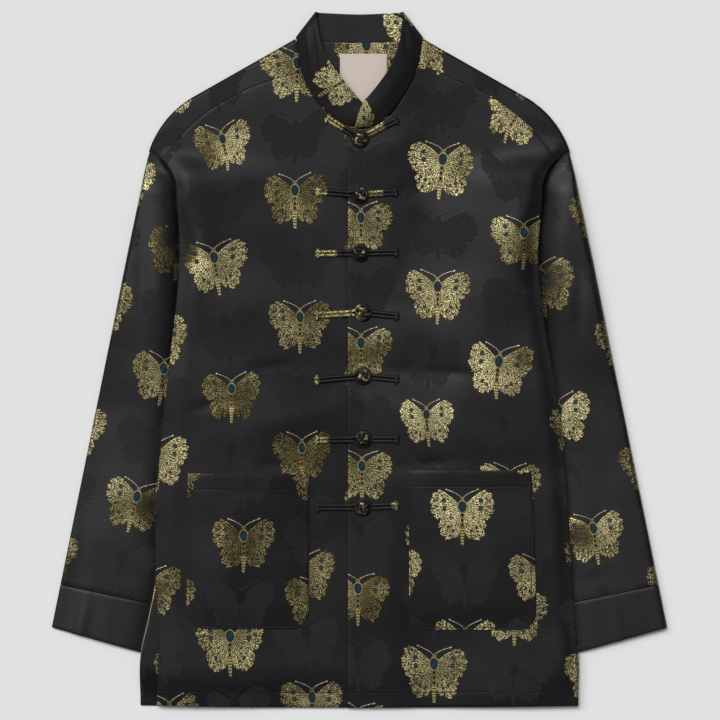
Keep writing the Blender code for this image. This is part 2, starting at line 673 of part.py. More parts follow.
# ---------------------------------------------------------------- collar, facing, label, pockets
def make_collar():
    """The stand collar: a band lofted from its seam to its free edge through COLLAR_ROWS."""
    table = np.array(COLLAR_ROWS)
    count = len(table)
    places = np.linspace(0.0, count - 1.0, (count - 1) * COLLAR_SUBDIVISIONS + 1)
    rows = curve_through(np.arange(count), table, places)
    seam_x, seam_y, edge_x, edge_y, edge_z, turn = rows.T
    turn = np.clip(turn, 0.0, 1.0)
    on_top = np.where(places > count / 2, overlap_step(seam_x), 0.0)
    seam_z = WALL / 2 + turn * (front_level(seam_x, seam_y) + on_top - WALL / 2)
    seam = np.column_stack([seam_x, seam_y, seam_z])
    edge = np.column_stack([edge_x, edge_y, edge_z])
    t = np.linspace(0.0, 1.0, COLLAR_CELLS + 1)[None, :, None]
    points = seam[:, None] * (1.0 - t) + edge[:, None] * t
    points[..., 2] += COLLAR_CROWN * turn[:, None] * np.sin(t[..., 0] * math.pi)
    points[..., 2] = np.maximum(points[..., 2], COLLAR_LOWEST)
    return sheet("collar", points, WALL, brocade)


def make_patch(name, points, wall, trees, material):
    """A piece that lies on others: its flat points are laid on them and it gets a thickness."""
    laid = [[[x, y, top_of(trees, x, y, PATCH_SPREAD) + SEAM_GAP + wall / 2] for x, y in row]
            for row in points]
    return sheet(name, np.array(laid), wall, material)


def pocket_points(inner, outer_top, outer_bottom, top, bottom):
    """Rows of a pocket from its top to its lower edge, with round lower corners."""
    arc = np.linspace(0.0, math.pi / 2, POCKET_CORNER_STEPS)[1:]
    straight = np.linspace(top, bottom + POCKET_CORNER, POCKET_ROWS)
    levels = np.concatenate([straight, bottom + POCKET_CORNER * (1.0 - np.sin(arc))])
    insets = np.concatenate([np.zeros(POCKET_ROWS), POCKET_CORNER * (1.0 - np.cos(arc))])
    sign = math.copysign(1.0, outer_top - inner)
    outer = outer_top + (outer_bottom - outer_top) * (top - levels) / (top - bottom)
    a = np.linspace(0.0, 1.0, POCKET_COLUMNS)[None, :]
    left = (inner + sign * insets)[:, None]
    right = (outer - sign * insets)[:, None]
    x = left * (1.0 - a) + right * a
    points = np.stack([x, np.broadcast_to(levels[:, None], x.shape)], axis=2)
    return points[::-1] if sign > 0 else points


def facing_points():
    """Rows of the facing, from just below the back neckline down."""
    a = np.linspace(-1.0, 1.0, FACING_COLUMNS)[None, :]
    t = np.linspace(0.0, 1.0, FACING_ROWS)[:, None]
    x = FACING_HALF_WIDTH * a * (1.0 - FACING_TAPER * t**2)
    top = BACK_NECK_Y + BACK_NECK_RISE * (x / NECK_POINT[0]) ** 2 - SEAM_GAP
    y = top * (1.0 - t) + (FACING_BOTTOM + FACING_CURVE * a**2) * t
    return np.stack([x, y], axis=2)[::-1]


def label_points():
    """Rows of the label, from its lower edge up."""
    left, right, top, bottom = LABEL_BOX
    x = np.linspace(left, right, LABEL_POINTS)
    y = np.linspace(bottom, top, LABEL_POINTS)
    return np.stack(np.meshgrid(x, y), axis=2)


# ---------------------------------------------------------------- frogs
def make_cord(name, points):
    """A round cord along points, with closed ends."""
    curve = bpy.data.curves.new(name, "CURVE")
    curve.dimensions = "3D"
    curve.bevel_depth = CORD_RADIUS * MM
    curve.bevel_resolution = 2
    curve.use_fill_caps = True
    spline = curve.splines.new("POLY")
    spline.points.add(len(points) - 1)
    for place, point in zip(spline.points, points):
        place.co = (*(np.asarray(point) * MM), 1.0)
    curve.materials.append(plain_satin)
    obj = bpy.data.objects.new(name, curve)
    jacket.objects.link(obj)
    return obj


def laid_cord(flat, trees):
    """Cord points at the height at which the cord lies on the pieces below it."""
    return [(x, y, top_of(trees, x, y, CORD_STEP) + SEAM_GAP + CORD_RADIUS) for x, y in flat]


def make_loop(name, knot, end, trees):
    """A doubled cord from its sewn end to the knot, opened there into a ring."""
    along = (knot - end) / np.linalg.norm(knot - end)
    beside = np.array([-along[1], along[0]])
    throat = knot - along * (RING_RADIUS + RING_THROAT)
    steps = int(math.ceil(np.linalg.norm(throat - end) / CORD_STEP)) + 1
    strand = [end + (throat - end) * t for t in np.linspace(0.0, 1.0, steps)]
    half_turn = math.radians(180.0 - RING_OPENING)
    angles = np.linspace(half_turn, -half_turn, RING_POINTS)
    ring = [knot + RING_RADIUS * (along * math.cos(a) + beside * math.sin(a)) for a in angles]
    first = [point + beside * CORD_SPREAD for point in strand]
    last = [point - beside * CORD_SPREAD for point in reversed(strand)]
    return make_cord(name, laid_cord(first + ring + last, trees))


def make_strap(name, knot, end, trees):
    """A doubled cord from beside the ring to its sewn, squared end."""
    along = (end - knot) / np.linalg.norm(end - knot)
    beside = np.array([-along[1], along[0]])
    start = knot + along * (RING_RADIUS + CORD_RADIUS + SEAM_GAP * 1.5)
    strand = [start + (end - start) * t for t in np.linspace(0.0, 1.0, STRAP_POINTS)]
    first = [point + beside * CORD_SPREAD for point in strand]
    last = [point - beside * CORD_SPREAD for point in reversed(strand)]
    return make_cord(name, laid_cord(first + last, trees))


def make_knot(name, knot, trees):
    """A button knot: a slightly flat ball with the swells of the cord that it is tied from."""
    ground = top_of(trees, knot[0], knot[1], KNOT_RADIUS / 2)
    bpy.ops.mesh.primitive_uv_sphere_add(segments=KNOT_SEGMENTS, ring_count=KNOT_RINGS, radius=1.0)
    obj = bpy.context.active_object
    for collection in list(obj.users_collection):
        collection.objects.unlink(obj)
    jacket.objects.link(obj)
    obj.name = name
    obj.data.name = name
    for vertex in obj.data.vertices:
        x, y, z = vertex.co
        swell = 1.0 - KNOT_SWELL * math.cos(3.0 * math.atan2(y, x)) * (1.0 - z * z)
        vertex.co = (
            (knot[0] + KNOT_RADIUS * swell * x) * MM,
            (knot[1] + KNOT_RADIUS * swell * y) * MM,
            (ground + SEAM_GAP + KNOT_HEIGHT * (1.0 + z)) * MM,
        )
    obj.data.materials.append(plain_satin)
    obj.data.shade_smooth()
    return obj


# ---------------------------------------------------------------- the jacket
for old in list(bpy.data.objects):
    bpy.data.objects.remove(old)
jacket = bpy.data.collections.new("tang_jacket")
bpy.context.scene.collection.children.link(jacket)

brocade = finish("brocade_satin", "#2b2b2e", 0.42)
plain_satin = finish("plain_satin", "#29292c", 0.36)
label_weave = finish("label_weave", "#d9cac5", 0.7)

back = make_back()
front_right = make_front("front_panel_right", -1, 1)
front_left = make_front("front_panel_left", 1, 2)
make_sleeve("sleeve_right", -1, 3)
make_sleeve("sleeve_left", 1, 4)
make_cuff("cuff_right", -1, 3)
make_cuff("cuff_left", 1, 4)
make_collar()
fronts = surface_tree(front_right, front_left)
make_patch("pocket_right", pocket_points(*POCKET_RIGHT_FRONT), POCKET_WALL, fronts, brocade)
make_patch("pocket_left", pocket_points(*POCKET_LEFT_FRONT), POCKET_WALL, fronts, brocade)
facing = make_patch("back_neck_facing", facing_points(), TRIM_WALL, surface_tree(back), brocade)
make_patch("neck_label", label_points(), LABEL_WALL, surface_tree(facing), label_weave)
for number, row in enumerate(FROG_ROWS, start=1):
    middle = np.array(row[0:2])
    make_loop(f"frog_{number}_loop", middle, np.array(row[2:4]), fronts)
    make_knot(f"frog_{number}_knot", middle, fronts)
    make_strap(f"frog_{number}_strap", middle, np.array(row[4:6]), fronts)
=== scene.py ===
"""Looks of the tang jacket, laid flat on its back on a pale surface.

The cloth pieces follow the forms of the solids they stand for, with finer grids, the creases of
soft satin and cloth coordinates for the woven butterflies. Lengths are in millimetres and are
turned to metres when a mesh is made.
"""

import functools
import math
from types import SimpleNamespace

import bpy
import numpy as np
from mathutils import Matrix


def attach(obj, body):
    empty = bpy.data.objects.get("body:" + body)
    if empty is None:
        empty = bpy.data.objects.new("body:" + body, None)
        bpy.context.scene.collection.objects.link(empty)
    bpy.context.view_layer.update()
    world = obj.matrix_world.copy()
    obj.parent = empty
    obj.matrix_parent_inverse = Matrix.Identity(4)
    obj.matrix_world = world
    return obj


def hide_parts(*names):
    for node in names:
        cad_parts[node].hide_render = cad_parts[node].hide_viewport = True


MM = 0.001
PI = math.pi
HALVES = ((-1, "right"), (1, "left"))       # sign of x, which half of the wearer

# ---------------------------------------------------------------- cloth thicknesses and gaps (mm)
WALL = 2.4                # back, fronts and collar
SLEEVE_WALL = 2.0
TRIM_WALL = 1.2           # facing
LABEL_WALL = 0.8
POCKET_WALL = 1.8
SEAM_GAP = 0.3            # between neighbouring pieces
WALL_RIM = 0.7            # round of the edges of the body's panels

# ---------------------------------------------------------------- the cut
BACK_NECK_Y = 353.0       # middle of the back neckline
BACK_NECK_RISE = 4.0      # its ends above that
NECK_POINT = (72.0, 358.6)          # where neckline and shoulder meet
SHOULDER_CORNER = (228.5, 269.7)    # the outline's corner there, before it is rounded
SHOULDER_ROUND = 108.0
SLEEVE_LEAN = math.radians(11.5)
SHOULDER_TO_ARMHOLE = 211.0         # lengths along the outline from the neck point
CUFF_SEAM_ALONG = 706.0
CUFF_END_ALONG = 755.0
CENTRE_FRONT_X = -12.8    # edge of the upper front
UNDERLAP = 30.0           # the lower front goes on this far behind it
UNDERLAP_FLAT = 10.0      # past the underlap the upper front keeps its height this far
UNDERLAP_RAMP = 64.0      # and comes down over this length
OVERLAP_EDGE = 2.5        # the step at the upper front's edge, for what lies on it
HEM_CORNER_Y = -387.0
HEM_SAG = 2.4             # the hem's middle below its corners
HEM_STITCH = 16.5         # hem's stitch line above the lower edge
POCKET_HEM = 18.0         # stitch line below a pocket's top edge
POCKET_STITCH = 2.2       # stitch line inside a pocket's edge

# ---------------------------------------------------------------- heights
# Pairs named _FROM and _TO hold where something starts to come in or go out, and over what length.
LAYER_GAP = 2.0           # air between back and fronts
FOLD_RADIUS = (WALL + LAYER_GAP) / 2
TUCKED_SLEEVE = 5.6       # thickness of a sleeve under the body
FULL_SLEEVE = 8.2         # where it shows
SHOWN_SLEEVE_RAMP = 36.0
SLEEVE_HEAD = 6.5         # and how much more at its head
HEAD_FROM = (-60.0, 140.0)
HEAD_TO = (185.0, 40.0)
LIFT = 6.5                # how far a sleeve below raises the body
TUCK_MARGIN = 14.0        # the raised part ends this far inside the sleeve's inner fold
TUCK_RAMP_BACK = 34.0     # and comes down over these lengths
TUCK_RAMP_FRONT = 118.0
TUCK_RAMP_HEM = 38.0
HEM_KEPT = 0.85           # share of the lift that the fronts keep at their hem
ARMHOLE_RISE = 34.0       # length over which the lift starts below the shoulder
SIDE_ROUND = 28.0         # the air between the layers closes over these lengths
HEM_ROUND = 52.0
AIR_FROM = (130.0, 60.0)  # but higher up it runs out to the seam
# Fullness by the armholes: height, crest inside the seam, half width inside and outside it.
RIGHT_PUFF = (2.6, 13.0, 30.0, 9.0)
LEFT_PUFF = (4.6, 16.0, 42.0, 10.0)
PUFF_FROM = (40.0, 90.0)
PUFF_TO = (210.0, 45.0)
SIDE_ROLL = 1.5           # ridge just inside the side edges
SIDE_ROLL_PLACE = (12.0, 9.0)       # crest inside the edge, half width
SIDE_ROLL_TO = (60.0, 60.0)
FOLDS_FROM_SIDE = 50.0    # the fronts' folds fade over these lengths
FOLDS_FROM_HEM = 30.0
ARMHOLE_DIP = 1.2         # the sleeve sinks along the armhole seam
ARMHOLE_DIP_WIDTH = 5.0
ARMHOLE_DIP_FROM = (10.0, 60.0)
ARMHOLE_DIP_LEAST = 0.45  # share of the dip below that
SLEEVE_FOLD_SHARE = 0.6   # of the heights in the sleeves' table of folds
SLEEVE_FOLDS_FROM = (4.0, 14.0)     # they come in outside the body
FOLDS_FROM_OUTER = 18.0   # and fade towards the sleeve's edges
FOLDS_FROM_INNER = 12.0
OUTER_THIN = {-1: 3.0, 1: -1.6}     # how much a sleeve thins towards its outer fold
OUTER_RAMP = 62.0
SEAM_LIFT = 0.5           # how far the first rings of a sleeve are raised, fading out
SEAM_RINGS = 8
COLLAR_CROWN = 1.6        # bulge of the collar's standing part
COLLAR_LOWEST = 1.3
SHADOW_GROOVE_OFFSET = 0.6        # groove in the lower front beside the upper one, darkened as a painted shadow line
EDGE_HIGHLIGHT_REACH = 1.0         # a pale gilt line painted as the highlight along the back's edge, this far in
TURNED_Y = -290.0         # about this height
TURNED_HALF_LENGTH = 34.0
FLOOR_LAYER_TOP = 12.0    # what is lower belongs to the back's lower layer

# ---------------------------------------------------------------- frogs
CORD_RADIUS = 1.9
CORD_SPREAD = 1.95        # a strand of a doubled cord from its middle
CORD_REACH = 3.0          # a cord lies on the highest cloth this far to its sides
CORD_GAP = 0.1
RING_RADIUS = 8.2
RING_THROAT = 3.4         # the cords part this far outside the ring
RING_HALF_TURN = math.radians(156)
STRAP_GAP = 0.6           # between the ring and the strap
END_INSET = 1.6           # the bar across a cord's sewn end: place, half width, rise
END_HALF_WIDTH = 4.2
END_RISE = 0.3
KNOT_RADIUS = 6.0
KNOT_CORD = 2.1           # radius of the knot's cord
KNOT_LATITUDE = math.radians(58)    # how far from its middle the knot's cord runs
KNOT_WAVE = 0.7           # how far the cord goes over and under itself
KNOT_SQUASH = 0.72        # height of the ball for its width
KNOT_RISE = 0.62          # its middle above the fronts, in radii
HEART_RADIUS = 3.7
HEART_HALF_LENGTH = 2.4

# ---------------------------------------------------------------- the woven repeat
SITE_ACROSS = 78.4        # a gold butterfly, a tonal one and so on along a row
SITE_UP = 70.6            # rows, each moved by one site

# The sides of the body.
# columns: y, half width of the front at -x and at +x, of the back at -x and at +x
SIDE_ROWS = [
    (178.6, 204.3, 204.3, 204.3, 204.3),
    (122, 200.9, 199.8, 200.9, 199.8),
    (66, 204.3, 203, 204.3, 203),
    (20, 209.4, 210, 209.4, 210),
    (-46, 217, 222, 217, 222),
    (-104, 222.5, 228, 222.5, 228),
    (-172, 227.3, 233.5, 227.3, 233.5),
    (-246, 227.6, 237.5, 227.6, 237.5),
    (-290, 225.2, 240.5, 236, 241),
    (-326, 224.6, 243.3, 244, 244.4),
    (-388, 226.5, 244.4, 245, 245),
]

# Forward shoulder seam and front neckline.  columns: x, y at -x, y at +x
FRONT_TOP_ROWS = [
    (0, 257.2, 257.2),
    (12.8, 260, 258.6),
    (22, 266, 263),
    (36, 276.5, 273.5),
    (50, 291.5, 294),
    (60, 306, 313),
    (66.5, 321, 331),
    (105, 310.5, 314),
    (143, 294, 297),
    (175, 273.5, 274),
    (199, 251, 251.5),
    (218.8, 225.1, 225.1),
]
NECK_ROW = 6              # where the neckline ends and the seam begins
FRONT_EDGE = {-1: 1, 1: 2}          # columns of SIDE_ROWS for a side
BACK_EDGE = {-1: 3, 1: 4}

# Sleeve sections.  columns: along the outline, inner x, inner y, bow towards the body
SLEEVE_ROWS = [
    (211, 204.3, 178.6, 14),
    (235, 190.5, 128, 9),
    (267, 171.5, 83, 5),
    (302, 154.5, 46, 2),
    (338, 142, 10.6, 0),
    (376, 134, -20.7, 0),
    (429, 130.5, -56.6, 0),
    (493, 134, -101.4, 0),
    (543, 143, -144, 0),
    (625, 170.5, -213, 0),
    (706, 194, -280.6, 0),
]
CUFF_INNER = (200.9, -339.9)
CUFF_SLOPE = 0.28         # rise of the cuff's hidden end for a step outwards
TUCK_PAST_CUFF = 12.0

# The collar band from its left front end round the back to its right front end.
# columns: seam_x, seam_y, edge_x, edge_y, edge_z, turn
COLLAR_ROWS = [
    (7, 260.2, 13, 280, 8.6, 1),
    (-17, 264.2, 3, 287.5, 8.8, 1),
    (-35, 277.3, -5, 296.5, 10.4, 1),
    (-48, 291, -16, 310, 12.6, 1),
    (-58.5, 307, -27, 324, 14.2, 1),
    (-65, 324, -37, 339, 15, 1),
    (-67.4, 340, -43.5, 357, 14.6, 1),
    (-69, 354, -47.6, 379, 11.6, 1),
    (-70, 360.2, -48.6, 387.8, 6, 0.5),
    (-63, 358.2, -44, 388, 1.4, 0),
    (-48, 356.2, -33, 387.4, 1.2, 0),
    (0, 353.6, 0, 386.2, 1.2, 0),
    (48, 356.2, 33, 387.4, 1.2, 0),
    (63, 358.2, 44, 388, 1.4, 0),
    (70, 360.2, 48.6, 387.8, 6, 0.5),
    (69, 354, 48.2, 380, 11.6, 1),
    (67, 341, 45.6, 358, 14.8, 1),
    (63.8, 327, 40.6, 341, 15.4, 1),
    (57.8, 312, 33, 324.5, 15.2, 1),
    (46.8, 294, 23, 310, 14.8, 1),
    (33.8, 276.2, 13.5, 298, 14.2, 1),
    (16, 261.8, 6.2, 290, 13.6, 1),
    (-5.5, 259.4, 2.8, 286.6, 13, 1),
]

# Soft troughs and ridges of the collar.
# columns: x, y, angle, half length, half width, height
COLLAR_FOLDS = [
    (-50.5, 346, -84, 26, 2.6, -1.5),
    (-55, 344, -84, 26, 3, 0.8),
    (52, 352, 96, 20, 3.5, -0.8),
    (33, 300, 50, 26, 6, 0.5),
]

# Soft troughs and ridges of the fronts.
# columns: x, y, angle, half length, half width, height
FOLD_ROWS = [
    (82, -14, -8, 46, 15, -1.2),
    (100, 26, -12, 60, 24, 0.8),
    (-108, -22, 8, 52, 18, -0.8),
    (-96, 62, -14, 66, 26, 0.8),
    (-88, -78, 10, 70, 22, 0.8),
    (96, -82, -6, 64, 22, 0.8),
    (58, 186, 4, 34, 14, -0.8),
    (128, 168, 58, 66, 26, 1),
    (-132, 176, -60, 66, 26, 1),
    (-118, -352, 4, 52, 16, 0.9),
    (54.4, 187.6, 3, 18, 3.6, -0.9),
    (58.4, 282, -9, 14, 3.4, -0.8),
    (80.8, -14, -3, 40, 4.6, -1.5),
    (150, -8, 6, 30, 6, 0.5),
    (72.9, -117, 4, 28, 5, -1.2),
    (-160, -50, 10, 30, 6, -1),
    (66, 62, -3, 26, 5, -0.7),
    (-95, -118, -4, 18, 5, -0.8),
    (-97.3, -8.4, 4, 18, 4, -0.8),
    (-122.5, -363, 3, 34, 5, 0.8),
    (-60, -60, 14, 46, 12, 0.7),
    (60, -58, -12, 40, 12, 0.7),
    (-44, 150, -40, 40, 16, 0.6),
    (36, 236, 30, 34, 12, 0.6),
    (-150, -250, 80, 90, 16, 0.8),
    (150, -250, 100, 90, 16, 0.8),
    (30, -220, 92, 100, 18, 0.6),
    (-30, -200, 88, 90, 16, 0.5),
    (140, -325, 2, 120, 46, -1.6),
    (-150, -300, -4, 60, 36, -0.6),
]

# Soft folds of each sleeve.  columns: x, y, angle, half length, half width, height
SLEEVE_FOLDS = {1: [
    (268, 120, 96, 60, 12, 1.2),
    (246, 60, 84, 60, 9, -1.4),
    (304, -60, 103, 120, 16, 1),
    (262, -130, 100, 90, 13, -0.9),
    (322, -190, 98, 70, 14, -0.7),
    (250, -250, 20, 24, 4, -0.7),
    (262, -222, 12, 30, 5, -0.6),
    (246, 190, 70, 36, 10, 0.9),
    (292, -322, 101, 60, 9, 1.3),
    (324, -300, 101, 50, 12, -0.6),
], -1: [
    (-272, 110, 82, 70, 13, 1.2),
    (-240, 70, 98, 66, 9, -1.4),
    (-300, -50, 78, 110, 17, 1),
    (-258, -150, 80, 90, 12, -0.9),
    (-318, -200, 76, 80, 15, -0.7),
    (-246, -244, -14, 26, 5, -0.6),
    (-248, 186, 112, 36, 10, 0.9),
    (-316, -318, 79, 60, 8, 3),
    (-270, -306, 79, 50, 12, -0.6),
]}

# The pockets.  columns: inner x, outer x at the top, outer x at the bottom, top y, bottom y
POCKETS = {
    "left": (55.6, 190.5, 198, -123.8, -302),
    "right": (-56.4, -191, -193, -127.1, -300.7),
}
POCKET_CORNER = 22.0
POCKET_RISE = 0.9         # how far its middle stands off the front
POCKET_PRESSED = 26.0     # width of the edge that is pressed down
POCKET_MOUTH = 1.0        # how far its open mouth stands above that
MOUTH_DEPTH = 26.0
MOUTH_FROM_SIDES = 40.0

FACING_HALF_WIDTH = 52.0
FACING_NARROWS = 0.25     # share lost towards its bottom
FACING_BOTTOM = 268.0
FACING_CURVE = 6.0        # its bottom's ends above the middle
FACING_OVER_NECK = 1.4
LABEL_BOX = (-21.7, 30.8, 342, 283)     # left, right, top, bottom
LABEL_RISE = 0.8          # how far it lifts between its sewn corners

# The frogs from the collar down.
# columns: knot, loop's end, strap's end, gilt share of the loop from its end, gilt from and to
#          along the strap, gilt of the knot
FROG_ROWS = [
    ((0.7, 246.6), (-36.5, 270), (42, 268), 0.5, (0, 0.55), 0.6),
    ((0.7, 184), (-48, 188), (42, 187), 0.24, (0, 0.5), 0.4),
    ((1, 119), (-48, 118.5), (42.5, 120), 0.46, (0, 0), 0.2),
    ((4, 52.5), (-49, 49.5), (43, 48.5), 0.95, (0, 0), 0.6),
    ((4, -18.5), (-49, -23), (43, -22), 0.06, (0, 0), 0.6),
    ((4, -89), (-49, -90), (43, -89), 0.26, (0, 0), 0.3),
    ((4, -165), (-48, -165), (42.5, -163), 0, (0.78, 1), 0.35),
]

# Where the gold butterflies of each piece lie.
# columns: site across, site up, x, y, lean against upright (degrees, anticlockwise), size,
#          painted sheen of the gilt threads there (how lit they are painted)
WOVEN = {
    "front_right": [
        (0, 4, -70, 322, 0, 1.06, 0.4),
        (0, 2, -72.1, 179.8, 0, 1.03, 0.05),
        (0, 0, -66.5, 38.6, 0, 0.97, 0.15),
        (0, -2, -64.3, -107, 0, 0.93, 0.15),
        (0, -4, -62, -240.2, 0, 1.0, 0.2),
        (0, -6, -53.1, -387, 0, 1.0, 0.3),
        (-1, 3, -151.6, 239.1, 12, 0.88, 0.5),
        (-1, 1, -160.6, 104.7, 8, 1.03, 0.5),
        (-1, -1, -142.7, -40.9, 0, 0.92, 0.02),
        (-1, -3, -142.7, -184.2, 0, 1.0, 0.2),
        (-1, -5, -144.6, -319, 0, 1.08, 0.5),
        (-2, 2, -246, 172, 0, 1.0, 0.4),
        (-2, 0, -225.6, 21.8, 0, 1.0, 0.4),
        (-2, -2, -225.6, -112.6, 0, 1.0, 0.8),
        (-2, -4, -235, -258.2, 0, 1.0, 0.3),
        (-2, -6, -212.1, -401.5, 0, 1.0, 0.3),
        (1, 3, 9, 262, 0, 1.0, 0.1),
        (1, 1, 19, 112, 0, 1.0, 0.15),
        (1, -1, 18, -30, 0, 1.0, 0.15),
        (1, -3, 18, -168, 0, 1.0, 0.15),
        (1, -5, 24, -315, 0, 1.0, 0.15),
    ],
    "front_left": [
        (0, 2, 1.8, 149.5, 0, 1.0, 0.3),
        (0, 0, 1.8, 9.5, 0, 1.0, 0.25),
        (0, -2, 2.9, -128.2, 0, 1.0, 0.2),
        (0, -4, -1.6, -264.9, 0, 1.0, 0.25),
        (1, 3, 92, 213.8, -6, 1.1, 0.9),
        (1, 1, 87.5, 72.2, 0, 1.03, 0.55),
        (1, -1, 75.6, -69, 4, 0.86, 0.8),
        (1, -3, 86.5, -210, 0, 1.0, 0.5),
        (1, -5, 83.6, -350, 0, 1.07, 0.6),
        (2, 4, 175, 271, -28, 0.98, 0.6),
        (2, 2, 183.2, 132.7, 0, 1.0, 0.45),
        (2, 0, 155, -11.4, -6, 1.05, 0.75),
        (2, -2, 168.7, -142.8, 0, 1.0, 0.6),
        (2, -4, 173.2, -286, 0, 1.06, 0.6),
        (3, -1, 247.5, -79, 0, 1.0, 0.15),
        (3, -3, 266.5, -230, 0, 1.0, 0.2),
        (3, -5, 265, -354.5, 0, 1.0, 0.6),
    ],
    "back": [
        (0, 4, -70, 322, 0, 1.06, 0.4),
        (-2, 4, -212.5, 303, 0, 1.05, 0.6),
        (2, 4, 66, 346, 6, 1.0, 0.9),
        (4, 4, 197.5, 315.5, -10, 1.0, 0.5),
        (-2, -4, -292, -282.8, 0, 1.0, 0.4),
        (-1, -5, -196, -352, 0, 1.0, 0.4),
        (-2, -2, -225.6, -142.8, 0, 1.0, 0.4),
        (3, -3, 258.3, -224.6, 0, 1.0, 0.4),
        (3, -5, 253.8, -336.6, 0, 1.0, 0.4),
        (0, -2, -66.5, -107, 0, 1.0, 0.4),
        (2, -2, 90.3, -107, 0, 1.0, 0.4),
    ],
    "sleeve_right": [
        (0, 2, -267, 197.5, -6, 1.12, 0.7),
        (0, 0, -291.6, 60.4, -8, 1.12, 0.6),
        (0, -2, -323, -80, -8, 1.12, 0.5),
        (0, -4, -352.1, -220.1, -8, 1.0, 0.4),
        (1, 1, -203, 120.6, -6, 1.0, 0.25),
        (1, -1, -220, -19, -6, 1.0, 0.45),
        (1, -3, -251, -162, -15, 1.0, 0.45),
    ],
    "sleeve_left": [
        (0, 2, 270.6, 159.6, 6, 1.0, 0.5),
        (0, 0, 299.7, 19.6, 8, 1.0, 0.4),
        (0, -2, 327.7, -121.5, 8, 1.0, 0.3),
        (0, -4, 358, -250.3, 8, 1.0, 0.4),
        (-1, 1, 204, 83.4, 6, 1.12, 0.6),
        (-1, -1, 223.6, -65.5, 6, 1.0, 0.9),
        (-1, -3, 262.8, -197.7, 9, 1.0, 0.7),
    ],
    "pocket_right": [
        (0, 0, -129.2, -205.5, 0, 1.0, 0.2),
        (-1, -1, -218.8, -269.4, 0, 1.0, 0.3),
        (1, -1, -48.6, -269.4, 0, 1.0, 0.3),
        (0, -2, -136, -347.8, 0, 1.0, 0.4),
    ],
    "pocket_left": [
        (0, 0, 114.9, -173.6, 0, 1.04, 0.9),
        (-1, -1, 35.4, -238, 0, 1.0, 0.7),
        (1, -1, 199.5, -243, 0, 0.93, 0.6),
        (0, -2, 118.2, -319, 0, 1.0, 0.8),
    ],
    "facing": [
        (0, 0, 7.8, 342.2, 0, 1.1, 0.4),
        (1, -1, 85.8, 270.5, 0, 1.0, 0.4),
        (-1, -1, -71, 270.5, 0, 1.0, 0.4),
    ],
    "collar": [
        (-2, 0, -144, 37, 0, 1.0, 0.7),
        (2, 0, 218, 4, 0, 1.0, 0.9),
    ],
    "collar_inside": [
        (-2, 0, -122, 13, 0, 1.0, 0.7),
        (0, 0, 77, 4, 0, 1.25, 0.8),
    ],
}
# Painted shade (below zero) and painted highlights (above zero) on the gilt threads, where they
# turn away from the light or catch it.
# columns: x, y, spread, change of painted sheen
GILT_PAINTED_LIGHT_ROWS = [
    (-172, 225, 17, -1),
    (-140, 240, 16, 0.5),
    (116, 214, 22, -0.9),
    (66, 214, 18, 0.3),
    (-196, 118, 15, -2.2),
    (-199, 142, 14, -1.4),
    (-208, 138, 17, -2.4),
    (-180, 112, 14, 0.7),
    (207, 88, 15, -2.4),
    (247, -197, 13, -2),
    (-236, -163, 13, -2.2),
    (186, -2, 16, -0.8),
]
REACH = 42.0              # how far the cloth around a butterfly is pulled with it
PULL_EASE = 0.02          # lets a butterfly give way a little to its neighbours
MOTIF_POINTS = [(0.0, 0.0), (25.0, 0.0), (-25.0, 0.0), (0.0, 20.0), (0.0, -25.0)]


# ---------------------------------------------------------------- small maths
def smooth(t):
    """A soft step: 3 t^2 - 2 t^3, held at 0 below 0 and at 1 above 1."""
    t = np.clip(t, 0.0, 1.0)
    return t * t * (3.0 - 2.0 * t)


def column(rows, index):
    return np.array([row[index] for row in rows], float)


def curve_through(knots, values, at):
    """Cubic Hermite curve through the rows of values, with the slope of the neighbours."""
    knots = np.asarray(knots, float)
    values = np.asarray(values, float)
    at = np.clip(np.asarray(at, float), knots[0], knots[-1])
    slope = np.gradient(values, knots, axis=0)
    i = np.clip(np.searchsorted(knots, at, side="right") - 1, 0, len(knots) - 2)
    span = knots[i + 1] - knots[i]
    t = (at - knots[i]) / span
    shape = t.shape + (1,) * (values.ndim - 1)
    t = t.reshape(shape)
    span = span.reshape(shape)
    return (
        (2 * t**3 - 3 * t**2 + 1) * values[i]
        + (t**3 - 2 * t**2 + t) * span * slope[i]
        + (3 * t**2 - 2 * t**3) * values[i + 1]
        + (t**3 - t**2) * span * slope[i + 1]
    )


def arc_length(points):
    """Length along a row of points, from its first one."""
    steps = np.linalg.norm(np.diff(points, axis=0), axis=1)
    return np.concatenate([[0.0], np.cumsum(steps)])


def ramp(value, place):
    """A soft step from where a place (start, length) begins."""
    return smooth((value - place[0]) / place[1])


def bell(distance, half_width):
    return np.exp(-((distance / half_width) ** 2))


def unit(vector):
    return vector / np.linalg.norm(vector)


def creases(x, y, rows):
    """Sum over the rows of height times a bell along and a bell across each fold."""
    total = np.zeros_like(x)
    for fold_x, fold_y, angle, half_length, half_width, height in rows:
        a = math.radians(angle)
        along = (x - fold_x) * math.cos(a) + (y - fold_y) * math.sin(a)
        across = (y - fold_y) * math.cos(a) - (x - fold_x) * math.sin(a)
        total = total + height * bell(along, half_length) * bell(across, half_width)
    return total


